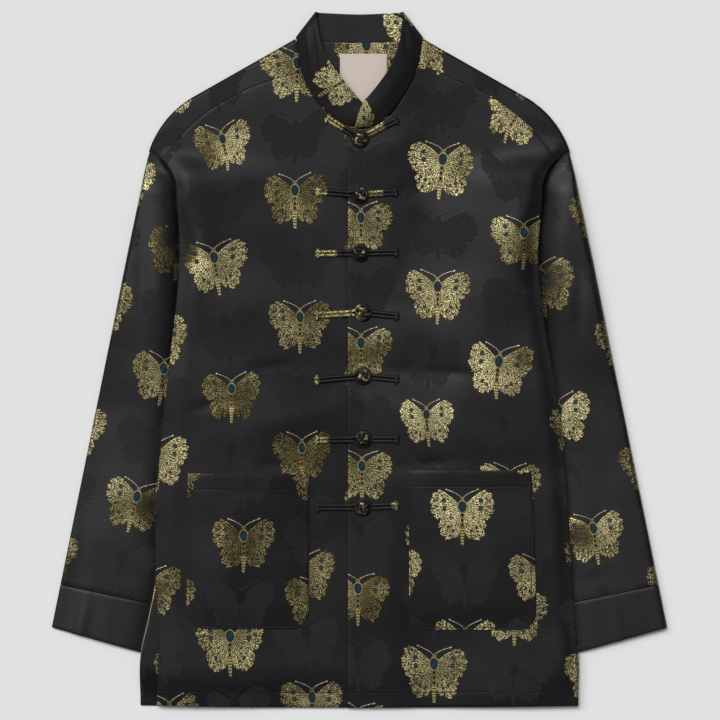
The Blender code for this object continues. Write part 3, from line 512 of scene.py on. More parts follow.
def weave(flat, rows):
    """Cloth coordinates of flat points, from where the butterflies of the piece lie.

    The best affine map from place to cloth, plus bells about five points of each butterfly,
    whose weights keep its place, lean and size.
    """
    table = np.array(rows, float)
    lean = np.radians(table[:, 4])[:, None]
    size = table[:, 5][:, None]
    right = np.hstack([np.cos(lean), np.sin(lean)])
    up = np.hstack([-np.sin(lean), np.cos(lean)])
    sites = np.concatenate([table[:, :2] * (SITE_ACROSS, SITE_UP) + offset
                            for offset in MOTIF_POINTS])
    places = np.concatenate([table[:, 2:4] + size * (right * a + up * b)
                             for a, b in MOTIF_POINTS])
    ones = np.ones((len(places), 1))
    affine = np.linalg.lstsq(np.hstack([places, ones]), sites, rcond=None)[0]
    rest = sites - np.hstack([places, ones]) @ affine
    apart = np.linalg.norm(places[:, None] - places[None], axis=2)
    pull = np.linalg.solve(bell(apart, REACH) + PULL_EASE * np.eye(len(places)), rest)
    points = flat.reshape(-1, 2)
    distance = np.linalg.norm(points[:, None] - places[None], axis=2)
    cloth = np.hstack([points, np.ones((len(points), 1))]) @ affine
    cloth = cloth + bell(distance, REACH) @ pull
    return cloth.reshape(flat.shape)


def shine(flat, rows):
    """Painted highlight and shade of the gilt threads: the butterflies' values, weighed by bells.
    """
    table = np.array(rows, float)
    points = flat.reshape(-1, 1, 2)
    weight = bell(np.linalg.norm(points - table[None, :, 2:4], axis=2), REACH)
    value = (weight @ table[:, 6] + 1e-9) / (weight.sum(axis=1) + 2e-9)
    for x, y, spread, amount in GILT_PAINTED_LIGHT_ROWS:
        value = value + amount * bell(np.linalg.norm(points[:, 0] - (x, y), axis=1), spread)
    return value.reshape(flat.shape[:-1])


# ---------------------------------------------------------------- the outline and its layers
def outline(along):
    """Point and outward direction on the outline of the wearer's left half.

    A straight shoulder, an arc and the sleeve's straight outer fold, by length from the neck.
    """
    corner = np.array(SHOULDER_CORNER)
    down_sleeve = np.array([math.sin(SLEEVE_LEAN), -math.cos(SLEEVE_LEAN)])
    shoulder = corner - np.array(NECK_POINT)
    shoulder_length = np.linalg.norm(shoulder)
    shoulder = unit(shoulder)
    turn = math.acos(float(shoulder @ down_sleeve))
    tangent = SHOULDER_ROUND * math.tan(turn / 2)
    straight = shoulder_length - tangent
    arc = SHOULDER_ROUND * turn
    inward = np.array([shoulder[1], -shoulder[0]])
    centre = np.array(NECK_POINT) + shoulder * straight + inward * SHOULDER_ROUND
    if along <= straight:
        return np.array(NECK_POINT) + shoulder * along, -inward
    if along <= straight + arc:
        angle = (along - straight) / SHOULDER_ROUND
        out = -inward * math.cos(angle) + shoulder * math.sin(angle)
        return centre + out * SHOULDER_ROUND, out
    out = np.array([-down_sleeve[1], down_sleeve[0]])
    return corner + down_sleeve * (tangent + along - straight - arc), out


def sleeve_section(outer, inner, bow, t):
    """Outer + (inner - outer) t, bowed sideways by 3 bow t (1 - t)."""
    t = np.asarray(t, float)[..., None]
    across = unit(inner - outer)
    side = np.array([across[1], -across[0]])
    if side[1] < 0:
        side = -side
    return outer + (inner - outer) * t + side * (3.0 * bow * t * (1.0 - t))


def armhole(t):
    """The armhole seam, from the shoulder (0) to where the sleeve dives under the body (1)."""
    first = SLEEVE_ROWS[0]
    return sleeve_section(outline(first[0])[0], np.array(first[1:3]), first[3], t)


ARMHOLE_T = np.linspace(0.0, 1.0, 101)
ARMHOLE_CURVE = armhole(ARMHOLE_T)
SEAM_END_T = float(np.interp(-FRONT_TOP_ROWS[-1][1], -ARMHOLE_CURVE[:, 1], ARMHOLE_T))


def side_x(y, edge_column):
    """Half width of the body at height y: the side's curve, and the armhole above it."""
    y = np.asarray(y, float)
    low = curve_through(-column(SIDE_ROWS, 0), column(SIDE_ROWS, edge_column), -y)
    high = np.interp(-y, -ARMHOLE_CURVE[:, 1], ARMHOLE_CURVE[:, 0])
    return np.where(y > SIDE_ROWS[0][0], high, low)


def tuck(x, y, soft, kept):
    """1 where the body lies on the sleeve below it, 0 on the ground, soft between.

    Below the cuff the share kept stays.
    """
    inner_x = column(SLEEVE_ROWS, 1).tolist() + [CUFF_INNER[0]]
    inner_y = column(SLEEVE_ROWS, 2).tolist() + [CUFF_INNER[1]]
    edge = np.interp(-y, -np.array(inner_y), np.array(inner_x)) - TUCK_MARGIN
    away = (edge - np.abs(x)) / soft
    beside = 1.0 - 0.4 * smooth(away) - 0.6 * np.clip(away, 0.0, 1.0)
    top = smooth((ARMHOLE_CURVE[0, 1] - y) / ARMHOLE_RISE)
    cuff_y = CUFF_INNER[1] + CUFF_SLOPE * (np.abs(x) - CUFF_INNER[0]) - TUCK_PAST_CUFF
    down = smooth((y - cuff_y + TUCK_RAMP_HEM) / TUCK_RAMP_HEM)
    return beside * top * (kept + (1.0 - kept) * down)


def back_level(x, y):
    """Height of the middle of the back's cloth."""
    return WALL / 2 + LIFT * tuck(x, y, TUCK_RAMP_BACK, 0.0)


def front_level(x, y):
    """Middle of the fronts' cloth: the back's height, the air between and the soft folds."""
    x = np.asarray(x, float)
    y = np.asarray(y, float)
    base = WALL / 2 + LIFT * tuck(x, y, TUCK_RAMP_FRONT, HEM_KEPT)
    edge = np.where(x < 0, side_x(y, FRONT_EDGE[-1]), side_x(y, FRONT_EDGE[1]))
    from_side = edge - np.abs(x)
    closing = smooth(from_side / SIDE_ROUND) * smooth((y - HEM_CORNER_Y + HEM_SAG) / HEM_ROUND)
    closing = closing + (1.0 - closing) * ramp(y, AIR_FROM)
    height, crest, inner, outer = (np.where(x < 0, *pair) for pair in zip(RIGHT_PUFF, LEFT_PUFF))
    puff = height * bell(from_side - crest, np.where(from_side > crest, inner, outer))
    puff = puff * ramp(y, PUFF_FROM) * (1.0 - ramp(y, PUFF_TO))
    crest, width = SIDE_ROLL_PLACE
    roll = SIDE_ROLL * bell(from_side - crest, width) * (1.0 - ramp(y, SIDE_ROLL_TO))
    inside = smooth(from_side / FOLDS_FROM_SIDE) * smooth((y - HEM_CORNER_Y) / FOLDS_FROM_HEM)
    gap = SEAM_GAP + (LAYER_GAP - SEAM_GAP) * closing
    return base + WALL + gap + (puff + roll) * closing + creases(x, y, FOLD_ROWS) * inside


def overlap_step(x):
    """How much the top front is raised where the other front runs under it."""
    edge = CENTRE_FRONT_X + UNDERLAP
    return (WALL + SEAM_GAP) * (1.0 - ramp(x, (edge + UNDERLAP_FLAT, UNDERLAP_RAMP)))


def front_top(x, y):
    """Top of the fastened fronts, with the step at the overlapping edge made soft."""
    over = ramp(x, (CENTRE_FRONT_X - OVERLAP_EDGE, OVERLAP_EDGE))
    return front_level(x, y) + WALL / 2 + over * overlap_step(x)


# ---------------------------------------------------------------- meshes
def new_object(name, data):
    obj = bpy.data.objects.new(name, data)
    bpy.context.scene.collection.objects.link(obj)
    return obj


def grid_mesh(name, points, layers, closed=False, keep=None, **fields):
    """An object from a (rows, columns, 3) grid of points, faces turned to +Z.

    Layers are UV maps by name, (rows, columns, 2) in millimetres, with one column more where
    the grid is closed. Keep is a mask of cells. Fields are values of the points, by name: one is
    the painted sheen of the gilt threads, turned how far a point is inside the pale line painted
    as the highlight along the back's edge.
    """
    rows, columns = points.shape[:2]
    width = columns if closed else columns - 1
    r, c = np.meshgrid(np.arange(rows - 1), np.arange(width), indexing="ij")
    if keep is not None:
        r, c = r[keep], c[keep]
    r, c = r.ravel(), c.ravel()
    corner_rows = np.stack([r, r, r + 1, r + 1], axis=1)
    corner_columns = np.stack([c, c + 1, c + 1, c], axis=1)
    index = corner_rows * columns + corner_columns % columns
    used, faces = np.unique(index, return_inverse=True)
    mesh = bpy.data.meshes.new(name)
    vertices = points.reshape(-1, 3)[used] * MM
    mesh.from_pydata(vertices.tolist(), [], faces.reshape(-1, 4).tolist())
    for key, values in layers.items():
        layer = mesh.uv_layers.new(name=key)
        layer.uv.foreach_set("vector", (values[corner_rows, corner_columns] * MM).ravel())
    for key, field in fields.items():
        values = field.ravel()[used].astype(np.float32)
        mesh.attributes.new(key, "FLOAT", "POINT").data.foreach_set("value", values)
    mesh.shade_smooth()
    return new_object(name, mesh)


def thicken(obj, wall, rim):
    """Gives the cloth its thickness, and its edges a small round."""
    solid = obj.modifiers.new("cloth", "SOLIDIFY")
    solid.thickness = wall * MM
    solid.offset = 0.0
    round_edge = obj.modifiers.new("edge", "BEVEL")
    round_edge.width = rim * MM
    round_edge.segments = 3
    round_edge.limit_method = "ANGLE"
    round_edge.angle_limit = math.radians(50)
    round_edge.harden_normals = False
    return obj


def brocade_piece(name, points, key, line, wall, rim, **more):
    """A piece of figured cloth from its grid; line is its place beside its stitch lines."""
    flat = points[..., :2]
    layers = {"weave": weave(flat, WOVEN[key]), "stitch": line}
    obj = grid_mesh(name, points, layers, shine=shine(flat, WOVEN[key]), **more)
    return thicken(obj, wall, rim)


def dress(obj, material, node):
    """Material, ride and the CAD node that the piece stands for."""
    obj.data.materials.append(material)
    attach(obj, "root")
    if node:
        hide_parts(node)


def with_height(flat, z):
    return np.concatenate([flat, z[..., None]], axis=-1)


def raised(flat, level):
    return with_height(flat, level(flat[..., 0], flat[..., 1]))


# ---------------------------------------------------------------- grid sizes
ROW_STEP = 4.0
NECK_COLUMNS = 18
SHOULDER_COLUMNS = 38
UNDERLAP_COLUMNS = 7
FLAP_ROWS = 22
ARMHOLE_STEPS = 12
FOLD_STEPS = 7
SLEEVE_RINGS = 126
SHOWN_POINTS = 42
HIDDEN_POINTS = 12
CUFF_RINGS = 14
COLLAR_SUBDIVISIONS = 7
COLLAR_CELLS = 14


# ---------------------------------------------------------------- the body
def column_fractions(side):
    """Places of the columns from the centre front (0) to the side (1), closer at the side."""
    centre = side * CENTRE_FRONT_X
    end_x = FRONT_TOP_ROWS[-1][0]
    neck = (FRONT_TOP_ROWS[NECK_ROW][0] - centre) / (end_x - centre)
    inner = np.linspace(0.0, neck, NECK_COLUMNS + 1)
    t = np.linspace(0.0, 1.0, SHOULDER_COLUMNS + 1)[1:]
    outer = neck + (1.0 - neck) * (0.75 * t + 0.25 * np.sin(t * PI / 2))
    return np.concatenate([inner, outer])


def side_points(edge_column):
    """Points up one side of the body, from the hem to the end of the forward seam."""
    count = int(round((SIDE_ROWS[0][0] - HEM_CORNER_Y) / ROW_STEP))
    low_y = np.linspace(HEM_CORNER_Y, SIDE_ROWS[0][0] - 1e-6, count + 1)
    low = np.stack([side_x(low_y, edge_column), low_y], axis=1)
    t = np.linspace(1.0, SEAM_END_T, ARMHOLE_STEPS + 1)[1:]
    return np.concatenate([low, armhole(t)])


def hem_y(fractions):
    return HEM_CORNER_Y - HEM_SAG * (1.0 - np.clip(fractions, 0.0, 1.0) ** 2)


def lower_grid(side, edge_column, fractions):
    """Half the body from the hem to the forward seam and neckline.

    Rows go from hem to top in the share in which the side's points rise; columns go from the
    centre to the side in the given fractions.
    """
    edge = side_points(edge_column)
    centre = side * CENTRE_FRONT_X
    x = centre + fractions[None, :] * (edge[:, :1] - centre)
    top_x = np.abs(centre + fractions * (edge[-1, 0] - centre))
    rows_x = column(FRONT_TOP_ROWS, 0)
    rows_y = column(FRONT_TOP_ROWS, 1 if side < 0 else 2)
    neckline = curve_through(rows_x[: NECK_ROW + 1], rows_y[: NECK_ROW + 1], top_x)
    seam = curve_through(rows_x[NECK_ROW:], rows_y[NECK_ROW:], top_x)
    top_y = np.where(top_x < rows_x[NECK_ROW] + 1e-6, neckline, seam)
    low_y = hem_y(fractions)
    reach = (edge[:, 1] - edge[0, 1]) / (edge[-1, 1] - edge[0, 1])
    y = low_y[None, :] + reach[:, None] * (top_y - low_y)[None, :]
    return np.stack([side * x, y], axis=2)


def back_neck_x():
    """Half width of the back neckline, where it meets the fold of the shoulder."""
    point, out = outline(0.0)
    return (point - out * (FOLD_RADIUS + WALL / 2))[0]


def upper_grid(side, fractions, below):
    """Rows from the forward seam to the shoulder's outline, and outward directions there."""
    neck = fractions[NECK_COLUMNS]
    ends = []
    outs = []
    for fraction in fractions:
        share = max(0.0, (fraction - neck) / (1.0 - neck))
        point, out = outline(SHOULDER_TO_ARMHOLE * share)
        if fraction < neck - 1e-6:
            centre = side * CENTRE_FRONT_X
            x = centre + fraction / neck * (back_neck_x() - centre)
            point = np.array([x, BACK_NECK_Y + BACK_NECK_RISE * (x / NECK_POINT[0]) ** 2])
        else:
            point = point - out * (FOLD_RADIUS + WALL / 2)
        ends.append(point)
        outs.append(out)
    ends = np.array(ends)
    outs = np.array(outs)
    start = below * [side, 1.0]
    w = np.linspace(0.0, 1.0, FLAP_ROWS + 1)[1:, None, None]
    rows = start[None] * (1.0 - w) + ends[None] * w
    straight = start[-1] * (1.0 - w[:, 0]) + ends[-1] * w[:, 0]
    bent = armhole(SEAM_END_T * (1.0 - w[:, 0, 0])) + (w[:, 0] * (ends[-1] - ARMHOLE_CURVE[0]))
    pull = np.clip((fractions - neck) / (1.0 - neck), 0.0, 1.0) ** 3
    rows = rows + pull[None, :, None] * (bent - straight)[:, None, :]
    return rows * [side, 1.0], outs * [side, 1.0]


def hem_line(flat):
    """Distance from the hem's stitch line and length along it."""
    low = flat[:1, :, 1]
    return np.stack([flat[..., 1] - low - HEM_STITCH, flat[..., 0]], axis=-1)


def make_back():
    """The back with the parts that run over the shoulders to the forward seams.

    Floor rows, then rings round the shoulder fold (middle + half thickness times sine and
    cosine), then the part that lies on top.
    """
    halves = []
    for side, _ in HALVES:
        fractions = column_fractions(side)
        low = lower_grid(side, BACK_EDGE[side], fractions)
        up, outs = upper_grid(side, fractions, low[-1])
        floor = raised(np.concatenate([low, up]), back_level)
        flap = raised(np.concatenate([low[-1:], up]), front_level)[::-1]
        flap[-1, :, 1] += SEAM_GAP
        angle = PI * np.arange(1, FOLD_STEPS + 1)[:, None, None] / (FOLD_STEPS + 1)
        middle = (floor[-1] + flap[0]) / 2
        half = (flap[0, :, 2:] - floor[-1, :, 2:]) / 2
        bend = np.concatenate([
            middle[None, :, :2] + outs * half * np.sin(angle),
            middle[None, :, 2:] - half * np.cos(angle),
        ], axis=2)
        halves.append(np.concatenate([floor, bend, flap]))
    left, right = halves
    points = np.concatenate([left[:, ::-1], right[:, 1:]], axis=1)
    rows, columns = points.shape[:2]
    keep = np.ones((rows - 1, columns - 1), bool)
    floor_rows = rows - FOLD_STEPS - (FLAP_ROWS + 1)
    keep[floor_rows - 1:, SHOULDER_COLUMNS:SHOULDER_COLUMNS + 2 * NECK_COLUMNS] = False
    flat = points[..., :2]
    # painted highlight: a pale gilt line along the side edge of the back's floor layer, over a
    # short stretch
    from_side = side_x(flat[..., 1], BACK_EDGE[-1]) + flat[..., 0]
    edge_highlight_span = np.exp(-(((flat[..., 1] - TURNED_Y) / TURNED_HALF_LENGTH) ** 4))
    on_floor = points[..., 2] < FLOOR_LAYER_TOP
    return brocade_piece("jacket_back", points, "back", hem_line(flat), WALL, WALL_RIM, keep=keep,
                         turned=(EDGE_HIGHLIGHT_REACH - from_side) * edge_highlight_span * on_floor)


def make_front(side, half):
    """A front; the one below runs on under the other's edge."""
    fractions = column_fractions(side)
    if side < 0:
        reach = FRONT_TOP_ROWS[-1][0] + CENTRE_FRONT_X
        under = np.linspace(-UNDERLAP / reach, 0.0, UNDERLAP_COLUMNS + 1)[:-1]
        fractions = np.concatenate([under, fractions])
    points = raised(lower_grid(side, FRONT_EDGE[side], fractions), front_level)
    if side > 0:
        points[..., 2] += overlap_step(points[..., 0])
    else:
        points = points[:, ::-1]
    flat = points[..., :2]
    line = hem_line(flat)
    if side < 0:
        # painted shadow: a darkened groove on the lower front just outside the upper front's edge
        pressed = flat[..., 0] - CENTRE_FRONT_X + SHADOW_GROOVE_OFFSET
        beside = np.abs(pressed) < np.abs(line[..., 0])
        line = np.where(beside[..., None], np.stack([pressed, flat[..., 1]], axis=-1), line)
    name = f"front_{half}"
    return brocade_piece("jacket_" + name, points, name, line, WALL, WALL_RIM)


# ---------------------------------------------------------------- sleeves and cuffs
def outside_body(side, x, y):
    """How far a point of the side's half, given with positive x, lies outside the body."""
    return x - side_x(y, BACK_EDGE[side])


def sleeve_thickness(outside, y):
    """Thin where the body lies on the sleeve, full where it shows."""
    grown = 1.0 - (1.0 - np.clip(outside / SHOWN_SLEEVE_RAMP, 0.0, 1.0)) ** 2.5
    head = ramp(y, HEAD_FROM) * (1.0 - ramp(y, HEAD_TO))
    return TUCKED_SLEEVE + (FULL_SLEEVE + SLEEVE_HEAD * head - TUCKED_SLEEVE) * grown


def thinning(thickness):
    """No thinning where a sleeve is at its thinnest, all of it where it is full."""
    return np.clip((thickness - TUCKED_SLEEVE) / (FULL_SLEEVE - TUCKED_SLEEVE), 0.0, 1.0)


def tube_ring(outer, inner, bow, side):
    """One loop round a flattened tube: over the top, round a fold, back below, round a fold.

    Also its place in the cloth as a flat point: what lies below goes on past the folds.
    """
    across = unit(inner - outer)
    ends = np.array([outer, inner])
    thick = sleeve_thickness(outside_body(side, *ends.T), ends[:, 1])
    thick = thick - [OUTER_THIN[side] * thinning(thick[0]), 0.0]
    inset = thick / 2 / np.linalg.norm(inner - outer)
    trial = np.linspace(0.0, 1.0, 41)
    line = sleeve_section(outer, inner, bow, trial)
    edge = float(np.interp(-1.0, -outside_body(side, *line.T), trial))
    shown = np.linspace(inset[0], edge, SHOWN_POINTS)
    hidden = np.linspace(edge, 1.0 - inset[1], HIDDEN_POINTS)[1:]
    flat = sleeve_section(outer, inner, bow, np.concatenate([shown, hidden]))
    x, y = flat.T
    outside = outside_body(side, x, y)
    full = sleeve_thickness(outside, y)
    from_outer = np.linalg.norm(flat - flat[0], axis=1)
    from_inner = np.linalg.norm(flat - flat[-1], axis=1)
    inside = smooth(from_outer / FOLDS_FROM_OUTER) * smooth(from_inner / FOLDS_FROM_INNER)
    folds = creases(x * side, y, SLEEVE_FOLDS[side]) * ramp(outside, SLEEVE_FOLDS_FROM)
    dip_share = ARMHOLE_DIP_LEAST + (1.0 - ARMHOLE_DIP_LEAST) * ramp(y, ARMHOLE_DIP_FROM)
    dip = ARMHOLE_DIP * bell(outside, ARMHOLE_DIP_WIDTH) * dip_share
    lift = (SLEEVE_FOLD_SHARE * folds - dip) * inside
    lift = lift - OUTER_THIN[side] * thinning(full) * (1.0 - smooth(from_outer / OUTER_RAMP))
    top = with_height(flat, full - SLEEVE_WALL / 2 + lift)
    low = with_height(flat, np.full(len(flat), SLEEVE_WALL / 2))
    angles = np.linspace(PI / 2, -PI / 2, FOLD_STEPS + 2)[1:-1, None]
    caps = []
    for end, sign in ((-1, 1.0), (0, -1.0)):
        radius = (top[end, 2] - low[end, 2]) / 2
        turned = angles * sign
        plane = flat[end] + across * sign * radius * np.cos(turned)
        caps.append(np.hstack([plane, low[end, 2] + radius + radius * np.sin(turned)]))
    ring = np.concatenate([low[::-1], caps[1], top, caps[0]])
    first = len(low) + FOLD_STEPS
    unrolled = arc_length(np.concatenate([ring, ring[:1]]))
    cloth = flat[0] + across * (unrolled - unrolled[first])[:, None]
    cloth[first:first + len(flat)] = flat
    return ring, cloth


def make_tube(name, side, rings, woven=None):
    """A flattened tube of cloth through its rings; a plain one has no butterflies."""
    points = np.array([ring for ring, _ in rings]) * [side, 1.0, 1.0]
    cloth = np.array([flat for _, flat in rings]) * [side, 1.0]
    if side < 0:
        points = np.roll(points[:, ::-1], 1, axis=1)
        cloth = cloth[:, ::-1]
    layers = {"weave": weave(cloth, woven) if woven else cloth, "stitch": far_from_stitches(cloth)}
    fields = {"shine": shine(cloth[:, :-1], woven)} if woven else {}
    return thicken(grid_mesh(name, points, layers, closed=True, **fields), SLEEVE_WALL, 0.6)


def far_from_stitches(flat):
    """A piece without stitch lines."""
    return np.full(flat.shape, 50.0)


def make_sleeve(side, half):
    """A sleeve lofted through its sections from the armhole to the cuff seam."""
    table = np.array(SLEEVE_ROWS)
    places = np.linspace(0.0, len(table) - 1.0, SLEEVE_RINGS)
    rows = curve_through(np.arange(len(table)), table, places)
    rings = [tube_ring(outline(along)[0], np.array([inner_x, inner_y]), bow, side)
             for along, inner_x, inner_y, bow in rows]
    for share, (ring, _) in zip(np.linspace(1.0, 0.0, SEAM_RINGS), rings):
        ring[:, 2] += SEAM_LIFT * share
    return make_tube(f"jacket_sleeve_{half}", side, rings, WOVEN[f"sleeve_{half}"])


def make_cuff(side, half):
    """The plain band at the end of a sleeve."""
    start = np.array(SLEEVE_ROWS[-1][1:3])
    end = np.array(CUFF_INNER)
    depth = CUFF_END_ALONG - CUFF_SEAM_ALONG
    shares = np.linspace(SEAM_GAP * 1.5 / depth, 1.0, CUFF_RINGS)
    outer = [outline(CUFF_SEAM_ALONG + depth * t)[0] for t in shares]
    rings = [tube_ring(point, start + (end - start) * t, 0.0, side)
             for point, t in zip(outer, shares)]
    return make_tube(f"jacket_cuff_{half}", side, rings)


# ---------------------------------------------------------------- collar, facing, label, pockets
def make_collar():
    """The stand collar: seam (1 - t) + edge t between smooth curves, with a crown sin(pi t)."""
    table = np.array(COLLAR_ROWS)
    count = len(table)
    places = np.linspace(0.0, count - 1.0, (count - 1) * COLLAR_SUBDIVISIONS + 1)
    rows = curve_through(np.arange(count), table, places)
    seam_x, seam_y, edge_x, edge_y, edge_z, turn = rows.T
    turn = np.clip(turn, 0.0, 1.0)
    on_top = np.where(places > count / 2, overlap_step(seam_x), 0.0)
    seam_z = WALL / 2 + turn * (front_level(seam_x, seam_y) + on_top - WALL / 2)
    seam = np.column_stack([seam_x, seam_y, seam_z])
    edge = np.column_stack([edge_x, edge_y, edge_z])
    t = np.linspace(0.0, 1.0, COLLAR_CELLS + 1)[None, :, None]
    points = seam[:, None] * (1.0 - t) + edge[:, None] * t
    points[..., 2] += COLLAR_CROWN * turn[:, None] * np.sin(t[..., 0] * PI)
    points[..., 2] += creases(points[..., 0], points[..., 1], COLLAR_FOLDS) * turn[:, None]
    points[..., 2] = np.maximum(points[..., 2], COLLAR_LOWEST)
    along = arc_length(seam)
    along = along - np.interp((count - 1) / 2, places, along)
    band = np.stack([
        np.broadcast_to(along[:, None], points.shape[:2]),
        np.linalg.norm(points - seam[:, None], axis=2),
    ], axis=2)
    outside = turn[:, None, None] > 0.5
    woven = np.where(outside, weave(band, WOVEN["collar"]), weave(band, WOVEN["collar_inside"]))
    layers = {"weave": woven, "stitch": far_from_stitches(band)}
    obj = grid_mesh("jacket_collar", points, layers, shine=shine(band, WOVEN["collar"]))
    return thicken(obj, WALL, 0.8)


def pocket_grid(inner, outer_top, outer_bottom, top, bottom):
    """Rows of a pocket from its lower edge to its top, with round lower corners.

    Straight rows, then rows at 1 - sine with insets of 1 - cosine of a quarter turn.
    """
    arc = np.linspace(0.0, PI / 2, 10)[1:]
    straight = np.linspace(top, bottom + POCKET_CORNER, 46)
    levels = np.concatenate([straight, bottom + POCKET_CORNER * (1.0 - np.sin(arc))])
    insets = np.concatenate([0.0 * straight, POCKET_CORNER * (1.0 - np.cos(arc))])
    sign = math.copysign(1.0, outer_top - inner)
    share = np.sqrt((top - levels) / (top - bottom))
    outer = outer_top + (outer_bottom - outer_top) * share
    a = np.linspace(0.0, 1.0, 41)[None, :]
    left = (inner + sign * insets)[:, None]
    right = (outer - sign * insets)[:, None]
    x = left * (1.0 - a) + right * a
    points = np.stack([x, np.broadcast_to(levels[:, None], x.shape)], axis=2)[::-1]
    return points if sign > 0 else points[:, ::-1]


def make_pocket(half):
    """A patch pocket on its front, pressed down along the stitched edge and open at the top."""
    flat = pocket_grid(*POCKETS[half])
    inner, outer_top, outer_bottom, top, bottom = POCKETS[half]
    x, y = flat[..., 0], flat[..., 1]
    low, high = sorted((inner, outer_top))
    sides = np.minimum(x - low, high - x + np.abs(outer_bottom - outer_top) / 2)
    corner_x = np.maximum(0.0, POCKET_CORNER - sides)
    corner_y = np.maximum(0.0, POCKET_CORNER - (y - bottom))
    rounded = POCKET_CORNER - np.hypot(corner_x, corner_y)
    inside = np.where((corner_x > 0) & (corner_y > 0), rounded, np.minimum(sides, y - bottom))
    mouth = ramp(y, (top - MOUTH_DEPTH, MOUTH_DEPTH)) * smooth(inside / MOUTH_FROM_SIDES)
    z = front_top(x, y) + SEAM_GAP + POCKET_WALL / 2
    z = z + POCKET_RISE * smooth(inside / POCKET_PRESSED) + POCKET_MOUTH * mouth
    edge = inside - POCKET_STITCH
    hem = y - (top - POCKET_HEM)
    near_hem = np.abs(hem) < np.abs(edge)
    line = np.stack([np.where(near_hem, hem, edge), np.where(near_hem, x, x + y)], axis=2)
    points = with_height(flat, z)
    return brocade_piece(f"patch_pocket_{half}", points, f"pocket_{half}", line, POCKET_WALL, 0.5)


def make_facing():
    """The facing inside the back neck, widest at the neckline."""
    a = np.linspace(-1.0, 1.0, 41)[None, :]
    t = np.linspace(0.0, 1.0, 31)[:, None]
    x = FACING_HALF_WIDTH * a * (1.0 - FACING_NARROWS * t**2)
    top = BACK_NECK_Y + BACK_NECK_RISE * (x / NECK_POINT[0]) ** 2 + FACING_OVER_NECK
    y = top * (1.0 - t) + (FACING_BOTTOM + FACING_CURVE * a**2) * t
    flat = np.stack([x, y], axis=2)[::-1]
    points = raised(flat, back_level) + [0.0, 0.0, WALL / 2 + SEAM_GAP + TRIM_WALL / 2]
    line = far_from_stitches(flat)
    return brocade_piece("back_neck_facing_cloth", points, "facing", line, TRIM_WALL, 0.3)


def make_label():
    """The bare woven label, which lifts a little between its sewn corners."""
    left, right, top, bottom = LABEL_BOX
    x = np.linspace(left, right, 27)[None, :] + np.zeros((31, 1))
    y = np.linspace(bottom, top, 31)[:, None] + np.zeros((1, 27))
    flat = np.stack([x, y], axis=2)
    ground = back_level(x, y) + WALL / 2 + SEAM_GAP + TRIM_WALL + SEAM_GAP + LABEL_WALL / 2
    across = np.sin((x - left) / (right - left) * PI)
    up = np.sin((y - bottom) / (top - bottom) * PI)
    points = with_height(flat, ground + LABEL_RISE * across * up)
    middle = ((left + right) / 2, (top + bottom) / 2)
    edge = np.stack([
        (right - left) / 2 - np.abs(x - middle[0]),
        (top - bottom) / 2 - np.abs(y - middle[1]),
    ], axis=2)
    obj = grid_mesh("woven_label", points, {"weave": flat, "stitch": edge})
    return thicken(obj, LABEL_WALL, 0.25)


# ---------------------------------------------------------------- frogs
def sweep(name, paths, radius, gilts, sides=12):
    """Round cords along paths: centre + radius (side cos a + up sin a), with domed ends.

    The frame of each ring turns as little as it can from the ring before.
    """
    vertices = []
    faces = []
    shares = []
    a = np.linspace(0.0, 2 * PI, sides, endpoint=False)
    for path, gilt in zip(paths, gilts):
        path = np.asarray(path, float)
        tangent = np.gradient(path, axis=0)
        tangent = tangent / np.linalg.norm(tangent, axis=1)[:, None]
        out = 1.0 - np.array([0.0, 0.35, 0.7, 0.92])
        dome = np.maximum(np.sqrt(1.0 - out**2), 0.02)
        size = np.concatenate([dome, np.ones(len(path)), dome[::-1]])
        before = path[0] - tangent[0] * radius * out[:, None]
        after = path[-1] + tangent[-1] * radius * out[::-1, None]
        path = np.concatenate([before, path, after])
        tangent = np.pad(tangent, ((len(out), len(out)), (0, 0)), "edge")
        gilt = np.pad(gilt, len(out), "edge")
        up = np.array([0.0, 0.0, 1.0])
        base = sum(len(ring) for ring in vertices)
        for centre, along, share, grow in zip(path, tangent, gilt, size):
            up = up - along * (up @ along)
            up = unit(up)
            side = np.cross(along, up)
            ring = centre + radius * grow * (np.cos(a)[:, None] * side + np.sin(a)[:, None] * up)
            vertices.append(ring)
            shares.append(np.full(sides, share))
        count = len(path)
        r, c = np.meshgrid(np.arange(count - 1), np.arange(sides), indexing="ij")
        d = (c + 1) % sides
        quads = np.stack([r * sides + c, r * sides + d, (r + 1) * sides + d, (r + 1) * sides + c])
        faces += (quads.reshape(4, -1).T + base).tolist()
        faces.append((base + np.arange(sides))[::-1].tolist())
        faces.append((base + (count - 1) * sides + np.arange(sides)).tolist())
    mesh = bpy.data.meshes.new(name)
    mesh.from_pydata((np.concatenate(vertices) * MM).tolist(), [], faces)
    share = mesh.attributes.new("gilt", "FLOAT", "POINT")
    share.data.foreach_set("value", np.concatenate(shares).astype(np.float32))
    mesh.shade_smooth()
    return new_object(name, mesh)


def laid(flat, radius, lift=0.0):
    """Flat points at the height at which a cord lies on the fronts."""
    flat = np.asarray(flat, float)
    x, y = flat[:, 0], flat[:, 1]
    ground = np.max([front_top(x + beside, y) for beside in (-CORD_REACH, 0.0, CORD_REACH)], axis=0)
    return np.column_stack([flat, ground + CORD_GAP + radius + lift])


def directions(start, end):
    """Direction from a flat point to another, and the one to its left."""
    along = unit(end - start)
    return along, np.array([-along[1], along[0]])


def cord_end(end, along, beside):
    """The folded, sewn end of a doubled cord: a short bar across both strands."""
    t = np.linspace(-1.0, 1.0, 9)[:, None]
    return laid(end + along * END_INSET + beside * t * END_HALF_WIDTH, CORD_RADIUS, END_RISE)


def gilt_over(distance, soft=0.06):
    """1 where the distance into the gilt part is positive, 0 where negative, soft between."""
    return smooth(distance / soft + 0.5)


